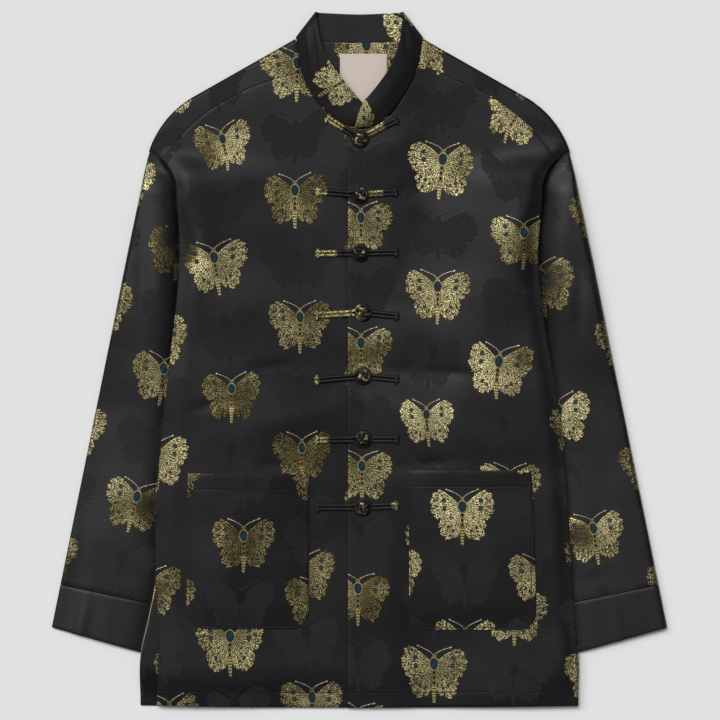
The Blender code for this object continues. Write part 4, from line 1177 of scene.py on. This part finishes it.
def make_loop(name, knot, end, share):
    """A doubled cord from its sewn end to the button, opened there into a ring.

    The share of it nearest its end is gilt.
    """
    knot, end = np.array(knot), np.array(end)
    along, beside = directions(end, knot)
    throat = knot - along * (RING_RADIUS + RING_THROAT)
    strand = end + (throat - end) * np.linspace(0.0, 1.0, 24)[:, None]
    a = np.linspace(RING_HALF_TURN, -RING_HALF_TURN, 49)[:, None]
    ring = knot + RING_RADIUS * (along * np.cos(a) + beside * np.sin(a))
    first = strand + beside * CORD_SPREAD
    last = strand[::-1] - beside * CORD_SPREAD
    flat = np.concatenate([first, ring, last])
    way = np.linalg.norm(flat - end, axis=1) / np.linalg.norm(knot - end)
    gilt = gilt_over(share - way) * (share > 0.0)
    paths = [laid(flat, CORD_RADIUS), cord_end(end, along, beside)]
    return sweep(name, paths, CORD_RADIUS, [gilt, np.full(9, gilt[0])])


def make_strap(name, knot, end, gilt_part):
    """A doubled cord from under the button to its sewn end, gilt from and to shares of it."""
    knot, end = np.array(knot), np.array(end)
    along, beside = directions(knot, end)
    start = knot + along * (RING_RADIUS + CORD_RADIUS + STRAP_GAP)
    t = np.linspace(0.0, 1.0, 20)
    strand = start + (end - start) * t[:, None]
    gilt = gilt_over(t - gilt_part[0]) * gilt_over(gilt_part[1] - t) * (gilt_part[1] > 0.0)
    paths = [laid(strand + beside * CORD_SPREAD, CORD_RADIUS),
             laid(strand - beside * CORD_SPREAD, CORD_RADIUS), cord_end(end, -along, beside)]
    return sweep(name, paths, CORD_RADIUS, [gilt, 0.3 * gilt, np.full(9, gilt[-1])])


def make_knot(name, knot, share, number):
    """A button knot: a cord that runs over and under itself round a ball, and its heart.

    On the ball the cord is at longitude 3 s and latitude KNOT_LATITUDE times cos(4 s), its
    distance going in and out with sin(8 s); the heart fills the middle.
    """
    ground = float(front_top(*knot))
    s = np.linspace(0.0, 2 * PI, 161) + 0.3 * number
    latitude = KNOT_LATITUDE * np.cos(4.0 * s)
    longitude = 3.0 * s
    out = KNOT_RADIUS + KNOT_WAVE * np.sin(8.0 * s)
    height = ground + KNOT_RISE * KNOT_RADIUS + KNOT_CORD
    path = np.column_stack([
        knot[0] + out * np.cos(latitude) * np.cos(longitude),
        knot[1] + out * np.cos(latitude) * np.sin(longitude),
        height + KNOT_SQUASH * out * np.sin(latitude),
    ])
    along = np.linspace(-HEART_HALF_LENGTH, HEART_HALF_LENGTH, 7)
    core = np.array([*knot, height]) + along[:, None] * [1.0, 0.0, 0.0]
    gilt = gilt_over(share - np.abs(np.sin(s * 2.5 + number)), 0.1)
    return (sweep(name, [path], KNOT_CORD, [gilt]),
            sweep(name + "_heart", [core], HEART_RADIUS, [np.full(7, gilt[0])]))


# ---------------------------------------------------------------- materials
class Value:
    """A number, colour or place that a material works out; + - * / abs() add its nodes."""

    def __init__(self, socket):
        self.socket = socket
        self.tree = socket.id_data

    def __add__(self, other):
        return calc("ADD", self, other)

    def __sub__(self, other):
        return calc("SUBTRACT", self, other)

    def __rsub__(self, other):
        return calc("SUBTRACT", other, self)

    def __mul__(self, other):
        return calc("MULTIPLY", self, other)

    def __truediv__(self, other):
        return calc("DIVIDE", self, other)

    def __abs__(self):
        return calc("ABSOLUTE", self)

    def clamped(self):
        """Holds the sum that was just worked out between 0 and 1."""
        self.socket.node.use_clamp = True
        return self


def linear(hex_colour):
    """Linear colour of an sRGB hex value."""
    channels = [int(hex_colour[i:i + 2], 16) / 255.0 for i in (1, 3, 5)]
    lin = [c / 12.92 if c <= 0.04045 else ((c + 0.055) / 1.055) ** 2.4 for c in channels]
    return (*lin, 1.0)


def plug(node, inputs):
    """Sets a node's inputs, by place or name, to numbers, hex colours or Values."""
    for key, value in inputs.items():
        if isinstance(value, Value):
            value.tree.links.new(value.socket, node.inputs[key])
        else:
            value = linear(value) if isinstance(value, str) else value
            node.inputs[key].default_value = value


def add(tree, kind, inputs=None, output=0, **settings):
    """Adds a node and returns one of its outputs."""
    made = tree.nodes.new(kind)
    for key, value in settings.items():
        setattr(made, key, value)
    plug(made, inputs or {})
    return Value(made.outputs[output])


def calc(operation, *values):
    tree = next(value.tree for value in values if isinstance(value, Value))
    return add(tree, "ShaderNodeMath", dict(enumerate(values)), operation=operation)


def highest(*values):
    return functools.reduce(lambda a, b: calc("MAXIMUM", a, b), values)


def lowest(*values):
    return functools.reduce(lambda a, b: calc("MINIMUM", a, b), values)


def sine(value):
    return calc("SINE", value)


def between(value, low, high):
    """1 where the value is between the two, else 0."""
    return calc("GREATER_THAN", value, low) * calc("LESS_THAN", value, high)


def step(value, soft):
    """0 below zero, 1 above soft, straight between."""
    return (value / soft).clamped()


def mix_colour(share, low, high, tree=None, blend="MIX"):
    return add(tree or share.tree, "ShaderNodeMix", {0: share, 6: low, 7: high}, output=2,
               data_type="RGBA", blend_type=blend)


def mix_value(share, low, high):
    return add(share.tree, "ShaderNodeMix", {0: share, 2: low, 3: high}, data_type="FLOAT")


def noise(place, scale, detail, dimensions="2D"):
    inputs = {"Vector": place, "Scale": scale, "Detail": detail}
    return add(place.tree, "ShaderNodeTexNoise", inputs, noise_dimensions=dimensions)


def bump(height, strength, distance, **more):
    """Relief of a height in units of a distance (m)."""
    inputs = {"Height": height, "Strength": strength, "Distance": distance, **more}
    return add(height.tree, "ShaderNodeBump", inputs)


def part(place, axis):
    """One coordinate of a place, or one channel of a colour."""
    return add(place.tree, "ShaderNodeSeparateXYZ", {0: place}, output=axis)


def scaled(place, factors):
    return add(place.tree, "ShaderNodeVectorMath", {0: place, 1: factors}, operation="MULTIPLY")


def length(place):
    return add(place.tree, "ShaderNodeVectorMath", {0: place}, output=1, operation="LENGTH")


def spot(place, x, y, radius):
    """Distance from a spot's centre as a share of its radius."""
    return add(place.tree, "ShaderNodeVectorMath", {0: place, 1: (x, y, 0.0)}, output=1,
               operation="DISTANCE") / radius


def cloth_place(tree, layer):
    """A layer's cloth coordinates in millimetres."""
    metres = add(tree, "ShaderNodeUVMap", uv_map=layer)
    return scaled(metres, (1 / MM, 1 / MM, 1 / MM))


def point_value(tree, name):
    return add(tree, "ShaderNodeAttribute", output=2, attribute_name=name)


def new_material(name):
    material = bpy.data.materials.new(name)
    material.use_nodes = True
    tree = material.node_tree
    return material, tree, tree.nodes["Principled BSDF"]


# The butterfly, in millimetres from its jewel, its right half mirrored to the left.
JEWEL_ABOVE_SITE = 9.2
JEWEL_RADII = (4.9, 6.1)
WING_NARROW = 1.14        # the drawing is this much narrower than the curve below
WING_SHORT_ABOVE = 1.04   # and this much shorter above the jewel
WING_SHORT_BELOW = 0.95   # less than 1, so it is longer below the jewel
WING_REACH = 45.0
WING_LOBES = 13.0         # lobes along the edge in a turn of pi radians
LOBE_DEPTH = 2.1
FLORETS_ROUND = 23.0      # florets in a turn of one radian
FLORETS_OUT = 0.62        # and in a millimetre outwards
RAYS = 44.0               # fine rays in a full turn
RAY_LENGTH = 24.0
WAIST = 2.3               # half width of the body above the tail
TAIL_TOP = -20.5
TAIL_END = 32.4 / 0.8
DOT_TOP = 8.6             # first of three dark dots below the jewel
DOT_STEP = 5.0
DOT_RADIUS = 1.8
HEAD = (0.0, 8.4, 2.8)
FEELER_START = 1.4
FEELER_END = 19.4
FEELER_TIP = (19.4, 18.8, 1.2)
FEELER_RISE = 9.4
# The eyes of a wing.  columns: x, y, radius
EYES = [(22.6, 6.6, 2.0), (22.0, -2.0, 2.0), (17.0, -21.4, 1.5), (11.4, -24.6, 1.2),
        (12.6, -11.6, 1.0)]
# Edge of a wing as a distance from the jewel, by direction.
# columns: share of the way from straight down (0) to 45 degrees above level (1), share of the reach
WING_EDGE = [
    (0.00, 0.60), (0.06, 0.64), (0.10, 0.70), (0.16, 0.80), (0.24, 0.87), (0.33, 0.83),
    (0.41, 0.76), (0.455, 0.70), (0.50, 0.74), (0.60, 0.82), (0.70, 0.84), (0.78, 0.83),
    (0.85, 0.80), (0.90, 0.74), (0.93, 0.62), (0.95, 0.40), (0.97, 0.12), (1.00, 0.0),
]


def wing_edge(phi):
    """Distance of the wing's edge from the jewel, in a direction (radians above level)."""
    tree = phi.tree
    curve_node = tree.nodes.new("ShaderNodeFloatCurve")
    curve = curve_node.mapping.curves[0]
    curve.points[0].location = WING_EDGE[0]
    curve.points[1].location = WING_EDGE[-1]
    for point in WING_EDGE[1:-1]:
        curve.points.new(*point)
    curve_node.mapping.update()
    plug(curve_node, {"Value": (phi + PI / 2) / (0.75 * PI)})
    return Value(curve_node.outputs[0]) * WING_REACH


def butterfly(cloth):
    """Masks of the woven butterfly at a place in the cloth: of its parts, of how bright its
    threads are, and whether its site is one of the tonal ones (odd)."""
    tree = cloth.tree
    u, v = part(cloth, 0), part(cloth, 1)
    i = calc("ROUND", u / SITE_ACROSS)
    j = calc("ROUND", v / SITE_UP)
    odd = calc("FLOORED_MODULO", i + j, 2.0)
    x = abs(u - i * SITE_ACROSS) * WING_NARROW
    y = v - j * SITE_UP - JEWEL_ABOVE_SITE
    y = highest(y * WING_SHORT_ABOVE, y * WING_SHORT_BELOW)
    place = add(tree, "ShaderNodeCombineXYZ", {0: x, 1: y, 2: 0.0})
    r = length(place)
    phi = calc("ARCTAN2", y, x)

    edge = wing_edge(phi)
    lobes = abs(sine(phi * WING_LOBES))
    shake = noise(cloth, 0.45, 2.0) - 0.5
    fan = {0: phi * FLORETS_ROUND, 1: r * FLORETS_OUT + shake * 1.8, 2: i * 3.7 + j * 7.1}
    fan = add(tree, "ShaderNodeCombineXYZ", fan)
    floret = add(tree, "ShaderNodeTexVoronoi", {"Vector": fan, "Scale": 1.0}, "Distance")
    outputs = floret.socket.node.outputs
    floret_r = part(Value(outputs["Position"]), 1) / FLORETS_OUT
    chance = part(Value(outputs["Color"]), 0)
    inside = lobes * LOBE_DEPTH + (edge - floret_r) - chance * 1.2
    wing = step(inside, 0.3) * step(edge + 2.2 - r, 0.5)

    rays = sine(phi * RAYS)
    near_root = (1.0 - r / RAY_LENGTH).clamped()
    fine = (noise(cloth, 0.9, 1.0) - 0.5) * 1.5
    thread = (1.32 - floret * 1.75).clamped()
    thread = thread * (chance * 0.75 + 0.5) + rays * near_root + fine
    parting = step(0.42 - lobes, 0.42) * step(r - edge + 10.0, 6.0)
    thread = (thread - parting * 0.45).clamped()

    low = step(TAIL_TOP - y, 3.0)
    waist = mix_value(low, WAIST, y * 0.11 + 6.1)
    body = lowest(waist - x, (y + TAIL_END) * 0.8)
    body = step(body, 0.4) * calc("LESS_THAN", y, -3.0)
    k = calc("ROUND", (-DOT_TOP - y) / DOT_STEP)
    k = lowest(highest(k, 0.0), 2.0)
    dot_y = k * DOT_STEP + DOT_TOP + y
    dots = calc("SQRT", x * x + dot_y * dot_y)

    eye = lowest(*[spot(place, *row) for row in EYES])
    oval = length(scaled(place, (1 / JEWEL_RADII[0], 1 / JEWEL_RADII[1], 0.0)))
    setting = step(1.25 - oval, 0.08)
    head = step(1.0 - spot(place, *HEAD), 0.12)

    t = ((x - FEELER_START) / 18.0).clamped()
    off = abs(y - (calc("POWER", t, 0.62) * FEELER_RISE + FEELER_RISE))
    feeler = step(0.7 - off, 0.45) * between(x, FEELER_START, FEELER_END)
    feeler = highest(feeler, step(1.0 - spot(place, *FEELER_TIP), 0.2))

    pale = highest(body, head, setting, feeler)
    return SimpleNamespace(
        odd=odd, figure=highest(wing, pale), thread=thread, pale=pale, feeler=feeler,
        tail=body * low, rings=sine(y * 2.1), dots=step(DOT_RADIUS - dots, 0.4),
        oval=oval, jewel=step(1.0 - oval, 0.08), setting=setting,
        eye_teal=step(1.0 - eye, 0.2) * wing, eye_dark=step(1.6 - eye, 0.5) * wing,
    )


def dashes(along, length_mm, share):
    """1 along the stitches of a seam, 0 between them."""
    return calc("LESS_THAN", calc("FRACT", along / length_mm), share)


def stitches(tree):
    """How near a piece's stitch line is, and the sewing thread along it."""
    line = cloth_place(tree, "stitch")
    near = abs(part(line, 0))
    groove_and_painted_shade = (1.0 - near / 1.3).clamped()
    return groove_and_painted_shade, step(0.55 - near, 0.3) * dashes(part(line, 1), 3.2, 0.72)


def brocade_material(name, specular, roughness=0.4):
    """Figured satin: a dark warp satin that lights up in soft bands, flat gilt threads painted
    lighter and darker as painted highlight and painted shade, and matt butterflies in the
    ground's own colour, painted lighter towards the bottom as painted light."""
    material, tree, shader = new_material(name)
    cloth = cloth_place(tree, "weave")
    solid = add(tree, "ShaderNodeTexCoord", output="Object")
    m = butterfly(cloth)
    groove_and_painted_shade, sewing = stitches(tree)
    gold_site = 1.0 - m.odd
    gold = m.figure * gold_site
    tonal = m.figure * m.odd

    broad = noise(solid, 22.0, 1.5, "3D")
    # painted light: noise and the painted sheen field blend shaded and lit gilt colours; where the
    # sum falls below zero the gilt is painted dark as shade and loses metal
    gilt_painted_light = (broad - 0.5) * 1.9 + point_value(tree, "shine")
    gilt_outside_painted_shade = (gilt_painted_light * 0.6 + 1.0).clamped()
    gilt_painted_light = highest(gilt_painted_light, 0.0).clamped()
    slub = noise(scaled(cloth, (0.05, 1.1, 0.0)), 1.0, 3.0)
    grain = noise(cloth, 1.3, 2.0)

    # painted light: the tonal butterflies are painted lighter towards the bottom and in broad noise
    # patches
    lower = (part(solid, 1) * -2.0 + broad * 1.6 - 0.45).clamped()
    hush = m.thread * 0.75 + mix_value(lower, -0.2, 0.12)
    hush = highest(hush, m.feeler * 0.4) * (1.0 - m.dots) * (1.0 - m.setting) * tonal
    ground = mix_colour(slub, "#0a0a0b", "#121214")
    ground = mix_colour(tonal * 0.4, ground, "#080809")
    ground = mix_colour(hush * (lower * 0.42 + 0.25), ground, "#2c2c31")

    # lit and shaded copies of the gilt colour, picked by the painted sheen
    gilt_painted_shaded = mix_colour(m.thread, "#15120a", "#696241")
    gilt_painted_lit = mix_colour(m.thread, "#1c190f", "#d8d2a6")
    gilt = mix_colour(gilt_painted_light, gilt_painted_shaded, gilt_painted_lit)
    tint = step(noise(cloth, 0.34, 2.0) - 0.42, 0.16)
    tint = mix_colour(tint, "#e6ba92", "#dcecc8")
    gilt = mix_colour(0.5, gilt, tint, tree, "MULTIPLY")
    banded = mix_colour(m.rings * 0.5 + 0.5, "#3c331b", "#8c8158")
    stone = mix_colour(step(0.92 - m.oval, 0.5), "#081317", "#143440")
    for mask, over in ((m.pale, "#615737"), (m.tail, banded), (m.setting, "#78724f"),
                       (m.eye_dark, "#1c1a10"), (m.eye_teal, "#142e30"), (m.dots, "#0c0a07"),
                       (m.feeler, "#8f8a72"), (m.jewel, stone)):
        gilt = mix_colour(mask, gilt, over)
    # painted shade: gilt darkened where its painted sheen falls below zero
    gilt = mix_colour(gilt_outside_painted_shade, "#100f0d", gilt)
    # painted highlight: the pale gilt line along the back's edge
    turned = step(point_value(tree, "turned"), 0.3) * (slub * 1.3)
    colour = ground
    # groove lines darkened as painted shade; the dark sewing thread is the thread's own colour
    for mask, over in ((gold, gilt), (turned, "#a59c78"), (groove_and_painted_shade * 0.4, "#060607"),
                       (sewing, "#0c0c0e")):
        colour = mix_colour(mask, colour, over)

    plain = highest(m.jewel, m.dots, m.eye_dark)
    metal = gold * (1.0 - plain).clamped() * (gilt_outside_painted_shade * 0.8 + 0.05)
    rough = mix_value(tonal, roughness, m.thread * 0.22 + 0.47)
    relief = m.figure * (m.thread * 0.5 + 0.3) * (gold_site * 0.7 + 0.3)
    relief = relief * (1.0 - m.setting * m.odd)
    relief = relief + slub * 0.22 + grain * 0.15 - groove_and_painted_shade * 0.3
    sway = bump(noise(scaled(solid, (6.0, 12.0, 0.0)), 1.0, 0.6), 1.0, 0.0026)
    plug(shader, {
        "Base Color": colour, "Metallic": metal, "Roughness": mix_value(gold, rough, 0.36),
        "Normal": bump(relief, 0.55, 0.0006, Normal=sway), "Specular IOR Level": specular,
    })
    return material


def plain_satin_material():
    """Unfigured satin of the cuffs: smoother than the figured cloth, with a softer gleam."""
    material, tree, shader = new_material("plain_satin")
    slub = noise(scaled(cloth_place(tree, "weave"), (0.08, 0.9, 0.0)), 1.0, 2.0)
    plug(shader, {
        "Base Color": mix_colour(slub, "#101012", "#161618"), "Roughness": 0.38,
        "Normal": bump(slub, 0.15, 0.0003), "Specular IOR Level": 0.185,
    })
    return material


def cord_material():
    """Satin cords cut on the bias: fine slanting ribs, and gilt where the strip crossed a wing."""
    material, tree, shader = new_material("satin_cord")
    solid = add(tree, "ShaderNodeTexCoord", output="Object")
    ribs = noise(solid, 900.0, 2.0, "3D")
    gold = point_value(tree, "gilt") * step(noise(solid, 620.0, 2.0, "3D") - 0.44, 0.1)
    dark = mix_colour(ribs, "#0a0a0c", "#171719")
    gilt = mix_colour(ribs, "#6f6234", "#d2c583")
    plug(shader, {
        "Base Color": mix_colour(gold, dark, gilt), "Metallic": gold * 0.7, "Roughness": 0.5,
        "Normal": bump(ribs, 0.4, 0.0003), "Specular IOR Level": 0.22,
    })
    return material


def label_material():
    """Damask label: matt cream weave with a fine rib, folded edges and sewn all round."""
    material, tree, shader = new_material("label_weave")
    cloth = cloth_place(tree, "weave")
    rib = add(tree, "ShaderNodeTexWave", {"Vector": cloth, "Scale": 0.45, "Distortion": 0.6},
              output=1, bands_direction="Y")
    inside = cloth_place(tree, "stitch")
    across, up = part(inside, 0), part(inside, 1)
    line = abs(lowest(across, up) - 1.8)
    sewn = step(0.45 - line, 0.3) * dashes(across + up, 2.6, 0.68)
    colour = mix_colour(rib, "#bcaea2", "#c8bbb0")
    plug(shader, {
        "Base Color": mix_colour(sewn, colour, "#b5a79b"), "Roughness": 0.75,
        "Normal": bump(rib - sewn * 1.5, 0.4, 0.0002),
    })
    return material


# ---------------------------------------------------------------- the jacket
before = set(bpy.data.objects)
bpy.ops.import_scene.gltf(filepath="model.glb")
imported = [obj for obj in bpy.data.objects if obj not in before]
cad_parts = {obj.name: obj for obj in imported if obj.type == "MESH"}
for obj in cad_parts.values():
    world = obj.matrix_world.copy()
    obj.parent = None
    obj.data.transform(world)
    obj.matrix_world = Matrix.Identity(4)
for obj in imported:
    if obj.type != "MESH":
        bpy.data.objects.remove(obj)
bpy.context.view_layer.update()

brocade = brocade_material("brocade_satin", 0.135)
sleeve_brocade = brocade_material("brocade_satin_sleeve", 0.175)
collar_brocade = brocade_material("brocade_satin_collar", 0.165, 0.55)
plain_satin = plain_satin_material()
cord_satin = cord_material()
label_weave = label_material()

dress(make_back(), brocade, "back_panel")
for side, half in HALVES:
    dress(make_front(side, half), brocade, f"front_panel_{half}")
for side, half in HALVES:
    dress(make_sleeve(side, half), sleeve_brocade, f"sleeve_{half}")
for side, half in HALVES:
    dress(make_cuff(side, half), plain_satin, f"cuff_{half}")
dress(make_collar(), collar_brocade, "collar")
dress(make_facing(), brocade, "back_neck_facing")
dress(make_label(), label_weave, "neck_label")
for side, half in HALVES:
    dress(make_pocket(half), brocade, f"pocket_{half}")
for number, row in enumerate(FROG_ROWS, start=1):
    knot, loop_end, strap_end, loop_gilt, strap_gilt, knot_gilt = row
    loop = make_loop(f"frog_cord_{number}", knot, loop_end, loop_gilt)
    dress(loop, cord_satin, f"frog_{number}_loop")
    strap = make_strap(f"frog_strap_cord_{number}", knot, strap_end, strap_gilt)
    dress(strap, cord_satin, f"frog_{number}_strap")
    button, heart = make_knot(f"frog_button_{number}", knot, knot_gilt, number)
    dress(button, cord_satin, f"frog_{number}_knot")
    dress(heart, cord_satin, None)

# ---------------------------------------------------------------- the cut of what shows
# columns: piece, width, length (m), flat area (m2), what it lies on
SHEETS = [
    ("jacket_back", 0.491, 0.790, 0.330, ["jacket_sleeve_right", "jacket_sleeve_left"]),
    ("jacket_front_right", 0.247, 0.711, 0.158, ["jacket_back"]),
    ("jacket_front_left", 0.258, 0.720, 0.160, ["jacket_back", "jacket_front_right"]),
    ("jacket_sleeve_right", 0.345, 0.515, 0.125, ["floor"]),
    ("jacket_sleeve_left", 0.345, 0.515, 0.125, ["floor"]),
    ("jacket_cuff_right", 0.320, 0.050, 0.0158, ["floor"]),
    ("jacket_cuff_left", 0.320, 0.050, 0.0158, ["floor"]),
    ("jacket_collar", 0.418, 0.040, 0.0119, ["jacket_back"]),
    ("back_neck_facing_cloth", 0.104, 0.090, 0.0080, ["jacket_back"]),
    ("woven_label", 0.0525, 0.059, 0.0031, ["back_neck_facing_cloth"]),
    ("patch_pocket_right", 0.137, 0.174, 0.0235, ["jacket_front_right"]),
    ("patch_pocket_left", 0.142, 0.180, 0.0249, ["jacket_front_left"]),
]
for name, width, length, area, below in SHEETS:
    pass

# ---------------------------------------------------------------- floor, light and camera
FLOOR_REACH = 4.0
FLOOR_BELOW = 0.0004
CAMERA_HEIGHT = 4.0
SENSOR = 36.0             # mm
VIEW_WIDTH = 720 * 1.12 * MM        # what the camera sees across, in metres


def floor():
    mesh = bpy.data.meshes.new("floor")
    a = FLOOR_REACH
    mesh.from_pydata([(-a, -a, 0), (a, -a, 0), (a, a, 0), (-a, a, 0)], [], [(0, 1, 2, 3)])
    obj = new_object("floor", mesh)
    obj.location.z = -FLOOR_BELOW
    material, _, shader = new_material("pale_floor")
    plug(shader, {"Base Color": "#dadada", "Roughness": 0.9, "Specular IOR Level": 0.1})
    mesh.materials.append(material)


def soft_sun(name, toward, strength, spread, colour=(1.0, 1.0, 1.0)):
    """A broad, even light from a direction."""
    data = bpy.data.lights.new(name, "SUN")
    data.energy = strength
    data.angle = math.radians(spread)
    data.color = colour
    z = unit(np.array(toward))
    x = unit(np.cross([0.0, 1.0, 0.0], z))
    y = np.cross(z, x)
    turn = Matrix(np.array([x, y, z]).T.tolist())
    new_object(name, data).rotation_euler = turn.to_euler()


floor()
soft_sun("overhead", (-0.20, 0.37, 1.0), 2.3, 26.0)
soft_sun("window", (-0.75, 0.5, 0.9), 0.75, 24.0, (0.9, 0.94, 1.0))

world = bpy.data.worlds.new("studio")
world.use_nodes = True
world.node_tree.nodes["Background"].inputs["Color"].default_value = (1, 1, 1, 1)
world.node_tree.nodes["Background"].inputs["Strength"].default_value = 0.25
bpy.context.scene.world = world

camera_data = bpy.data.cameras.new("above")
camera_data.sensor_width = SENSOR
camera_data.lens = SENSOR * CAMERA_HEIGHT / VIEW_WIDTH
camera_data.clip_end = 20.0
camera = new_object("above", camera_data)
camera.location = (0.0007, -0.0006, CAMERA_HEIGHT)
bpy.context.scene.camera = camera
bpy.context.scene.view_settings.view_transform = "Standard"
